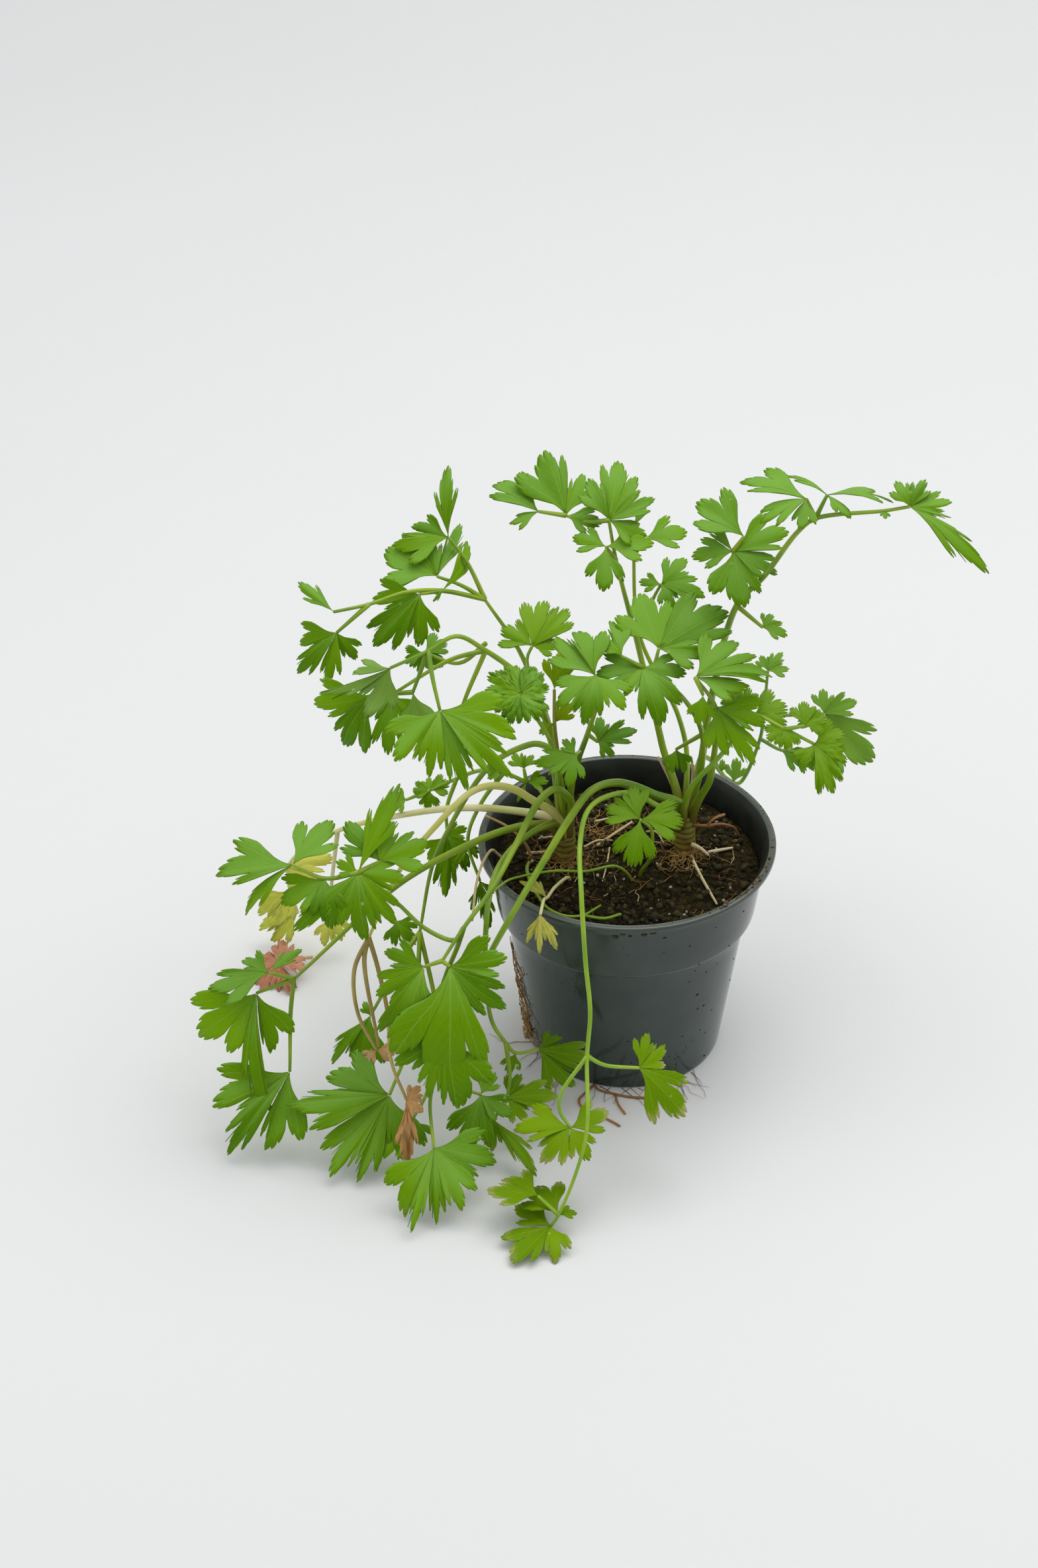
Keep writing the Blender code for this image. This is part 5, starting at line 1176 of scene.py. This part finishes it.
def pot_dirt():
    """Flat specks of soil that stick to the front of the wall and to the rim."""
    rng = random.Random(31)
    sheets = Sheets()
    base, corners = ball()
    # Each as its turn round the pot in degrees, its height and its size; first those that the photo shows
    blots = [(266, 91, 1.2), (269, 92.5, 0.9), (272, 91.5, 0.8), (277.5, 92, 1.3), (281, 92.5, 1.0)]
    blots += [(286, 89, 0.7), (309, 47, 0.7), (311, 38, 0.55), (315, 38, 0.6), (252, 92.5, 0.4)]
    blots += [(258, 93, 0.4), (305, 62, 0.35)]
    for _ in range(70):
        turn, height = rng.uniform(200, 345), rng.choice((rng.uniform(3, 20), rng.uniform(3, 94)))
        blots.append((turn, height, rng.uniform(0.16, 0.4)))
    blots += [(rng.gauss(326, 11), POT_HEIGHT, rng.uniform(0.3, 0.8)) for _ in range(40)]
    blots += [(rng.uniform(0, 360), POT_HEIGHT, rng.uniform(0.15, 0.45)) for _ in range(40)]
    upward = np.array([0.0, 0.0, 1.0])
    for number, (turn, height, size) in enumerate(blots):
        turn = math.radians(turn)
        outward = np.array([math.cos(turn), math.sin(turn), 0.0])
        sideways = np.array([-math.sin(turn), math.cos(turn), 0.0])
        if height < POT_HEIGHT:
            place = outward * (wall_radius(height) + 0.02) + upward * height
            width, tall = size * rng.uniform(0.8, 1.5), size * rng.uniform(0.5, 0.9)
            axes = [sideways * width, outward * 0.22, upward * tall]
        else:
            place = outward * (RIM_RADIUS - 0.5 - rng.uniform(0.2, 1.7)) + upward * (height + 0.02)
            axes = [sideways * size * rng.uniform(0.8, 1.6), outward * size * 0.8, upward * 0.25]
        look = 1 if height == POT_HEIGHT and number % 3 else 0
        sheets.add(base * bumps(base, 0.45, 1.6, (number, 5, 0)) @ np.stack(axes) + place, corners, look)
    obj = sheets.finish("pot_dirt", [CRUMB, BARK])
    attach(obj, "root")


# Roots, fibres and straws
def fibre(sheets, points, step, radius, taper, sides, slot=0, ridges=0.0, lowest=0.0):
    """Adds a thin tube through the points; taper is its share of the radius at the start, and what it loses."""
    path, along = smooth_path(points, step)
    path[:, 2] = np.maximum(path[:, 2], lowest)
    verts, faces = tube(path, radius * (taper[0] - along / along[-1] * taper[1]), sides, ridges)
    sheets.add(verts, faces, slot)


def wall_roots():
    """The root mat that climbs the pot's left wall out of a drain hole."""
    rng = random.Random(5)
    sheets = Sheets()
    stride, top = 3.2, 46
    for number in range(46):
        turn = math.radians(rng.gauss(190, 5.5))
        height = rng.uniform(0.8, top) if number > 8 else top - number * 3
        heading = rng.gauss(-math.pi / 2, 0.9)
        points = []
        for _ in range(7):
            lift = 0.4 + rng.random() ** 2 * 2.6 * (1 - height / 60)
            radius = wall_radius(height) + lift
            points.append((radius * math.cos(turn), radius * math.sin(turn), height))
            heading += rng.gauss(0, 0.7)
            turn += math.cos(heading) * stride / 44
            height = min(50, max(0.5, height + math.sin(heading) * stride))
        fibre(sheets, points, 1.0, rng.uniform(0.16, 0.34), (1, 0.6), 6, lowest=0.4)
    obj = sheets.finish("root_left_fine", [BRISTLE])
    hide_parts("root_left")
    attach(obj, "root")


def floor_roots():
    """Fine root ends that trail on the table round the pot's foot."""
    rng = random.Random(9)
    sheets = Sheets()
    stride = 3.4
    for number in range(24):
        turn = math.radians(rng.choice((rng.uniform(195, 262), rng.uniform(262, 300), rng.uniform(300, 318))))
        radius = wall_radius(2) + 0.3
        x, y, heading = radius * math.cos(turn), radius * math.sin(turn), turn + rng.gauss(0, 0.6)
        points = []
        for _ in range(rng.randint(4, 7)):
            points.append((x, y, rng.uniform(0.25, 0.7)))
            heading += rng.gauss(0, 0.35)
            x, y = x + math.cos(heading) * stride, y + math.sin(heading) * stride
        fibre(sheets, points, 1.2, rng.uniform(0.12, 0.22), (1, 0.6), 5, number % 2)
    obj = sheets.finish("roots_floor", [BRISTLE, DARK_HAIR])
    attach(obj, "root")


def strands(name, count, seed, look, area, length, radius, wander, lift=0.0):
    """Thin fibres that lie on the soil round a place; area is that place and how far they stray from it."""
    rng = random.Random(seed)
    sheets = Sheets()
    for _ in range(count):
        x, y = area[0] + rng.gauss(0, area[2]), area[1] + rng.gauss(0, area[2])
        heading = rng.uniform(0, math.tau)
        points = []
        for _ in range(5):
            if math.hypot(x, y) < wall_radius(SOIL_TOP) - 4:
                points.append((x, y, soil_height(x, y) + 0.3 + rng.uniform(0, 0.9) * (1 + 2 * lift)))
            heading += rng.gauss(0, wander)
            x += math.cos(heading) * length / 4
            y += math.sin(heading) * length / 4
        if len(points) > 2:
            fibre(sheets, points, 1.0, radius, (1.1, 0.7), 5)
    obj = sheets.finish(name, [look])
    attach(obj, "root")


# Old straws on the soil between the crowns: a radius, then points, each with its height over the soil
STRAWS = (
    (0.75, ((-40.5, 3.5, 0.8), (-35, 3.0, 1.6), (-29.0, 4, 1.4))),
    (0.6, ((-12, 9, 0.8), (-5, 15, 2.5), (2, 23, 3.5))),
    (0.5, ((-13, 25, 1.5), (-6, 25.5, 3.0), (1, 27, 2.5))),
    (0.45, ((-17.5, 8, 1.5), (-12, 10.5, 2.5), (-6, 12, 1.2))),
    (0.35, ((-7, 8, 1.5), (-8, -3, 0.7), (-9.5, -15, 0.5))),
    (0.5, ((-36, 14, 1.0), (-30, 12, 2.5), (-25, 12, 2.0))),
    (0.45, ((8, 19, 1.5), (12, 17, 3.0), (15, 12, 1.2))),
)


def old_straws():
    """Short cut straws that lie on the soil, as one piece."""
    sheets = Sheets()
    for radius, points in STRAWS:
        points = [(x, y, soil_height(x, y) + lift) for x, y, lift in points]
        fibre(sheets, points, 0.8, radius, (1.05, 0.35), 8, ridges=0.12)
    obj = sheets.finish("old_straws", [STALKS["straw"]])
    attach(obj, "root")


crumbs()
pot_dirt()
wall_roots()
floor_roots()
strands("soil_fibres", 46, 3, STALKS["root_brown"], (8, -8, 30), 11, 0.16, 0.7)
strands("pale_fibres", 16, 8, STALKS["straw"], (10, -10, 26), 9, 0.2, 0.5)
strands("crown_roots_right", 70, 21, BRISTLE, (22.5, 4, 4.2), 10, 0.2, 0.9, 0.8)
strands("crown_roots_left", 60, 22, BRISTLE, (-23, -2, 5.2), 10, 0.2, 0.9, 0.8)
strands("crown_roots_middle", 45, 23, BRISTLE, (-10, 18, 4.5), 10, 0.2, 0.9, 0.8)
old_straws()

CROWN_HEIGHT = 25.5
CROWN_LOOK = crown_material()


# The crowns
def crown(name, centre, shift):
    """A ringed, swollen stem base, in place of its CAD node; shift makes each crown's unevenness its own."""
    rings, steps = 46, 40
    verts = []
    for ring in range(rings + 1):
        height = STEM_FOOT + CROWN_HEIGHT * ring / rings
        share = ring / rings
        swell = 4.0 + 0.9 * share + 0.3 * math.sin(share * 6.0 + 0.5) - 1.6 * share**8
        band = abs(math.sin(height * math.pi / 2.7)) ** 0.5
        for number in range(steps):
            angle = math.tau * number / steps
            point = Vector((math.cos(angle), math.sin(angle), height * 0.18 + shift))
            radius = swell * (0.9 + 0.1 * band) * (1 + 0.1 * noise.noise(point * 1.6))
            verts.append((centre[0] + radius * math.cos(angle), centre[1] + radius * math.sin(angle), height))
    faces = ring_faces(rings + 1, steps)
    faces += [tuple(range(steps - 1, -1, -1)), tuple(range(rings * steps, len(verts)))]
    obj = add_object(name + "_fine", verts, faces)
    obj.data.materials.append(CROWN_LOOK)
    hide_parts(name)
    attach(obj, "root")


crown("crown_left", CROWN_LEFT, 1)
crown("crown_right", CROWN_RIGHT, 2)


# The studio: a floor that curves up into a backdrop, soft light and the camera
def studio_floor():
    """The floor, and the backdrop that it curves up into behind the pot."""
    start, bend, far, half_width = 1100, 900, 3000, 4000
    curve = np.linspace(0.05, math.pi / 2, 24)
    profile = [(-far, 0), (start, 0)]
    profile += [(start + bend * math.sin(turn), bend - bend * math.cos(turn)) for turn in curve]
    profile += [(start + bend, 4000)]
    verts = [(side * half_width, y, z) for y, z in profile for side in (-1, 1)]
    faces = [(low, low + 1, low + 3, low + 2) for low in range(0, len(verts) - 2, 2)]
    floor = add_object("floor", verts, faces)
    floor.data.materials.append(floor_material())


def area_light(name, place, target, size, power):
    """A round soft light, in metres and watts."""
    light = bpy.data.lights.new(name, "AREA")
    light.shape = "DISK"
    light.size = size
    light.energy = power
    obj = bpy.data.objects.new(name, light)
    obj.location = place
    obj.rotation_euler = (Vector(target) - Vector(place)).to_track_quat("-Z", "Y").to_euler()
    bpy.context.scene.collection.objects.link(obj)


studio_floor()
area_light("key", (0.55, 0.45, 2.1), (0, 0, 0.1), 2.1, 25)
area_light("fill", (-1.2, -0.6, 1.8), (0, 0, 0.1), 2.4, 6)
# The room is bright above and behind, and darker on the camera's side
world = bpy.data.worlds.new("studio")
room = Nodes(world)
behind = room.ramp(room.split(room.coordinates["Generated"])[1], -0.75, 0.25)
strength = room.plus(room.times(behind, 0.56), 0.38)
room.put(room.tree.nodes["Background"], {0: (0.97, 0.985, 1.0, 1), 1: strength})
bpy.context.scene.world = world
bpy.context.scene.view_settings.view_transform = "Standard"

camera = bpy.data.objects.new("camera", bpy.data.cameras.new("camera"))
camera.data.lens = LENS
camera.data.sensor_width = 36
camera.data.clip_start = 0.05
camera.matrix_world = Matrix(
    [[RIGHT[row], UP[row], -FORWARD[row], EYE[row] * MM] for row in range(3)] + [[0, 0, 0, 1]]
)
bpy.context.scene.collection.objects.link(camera)
bpy.context.scene.camera = camera
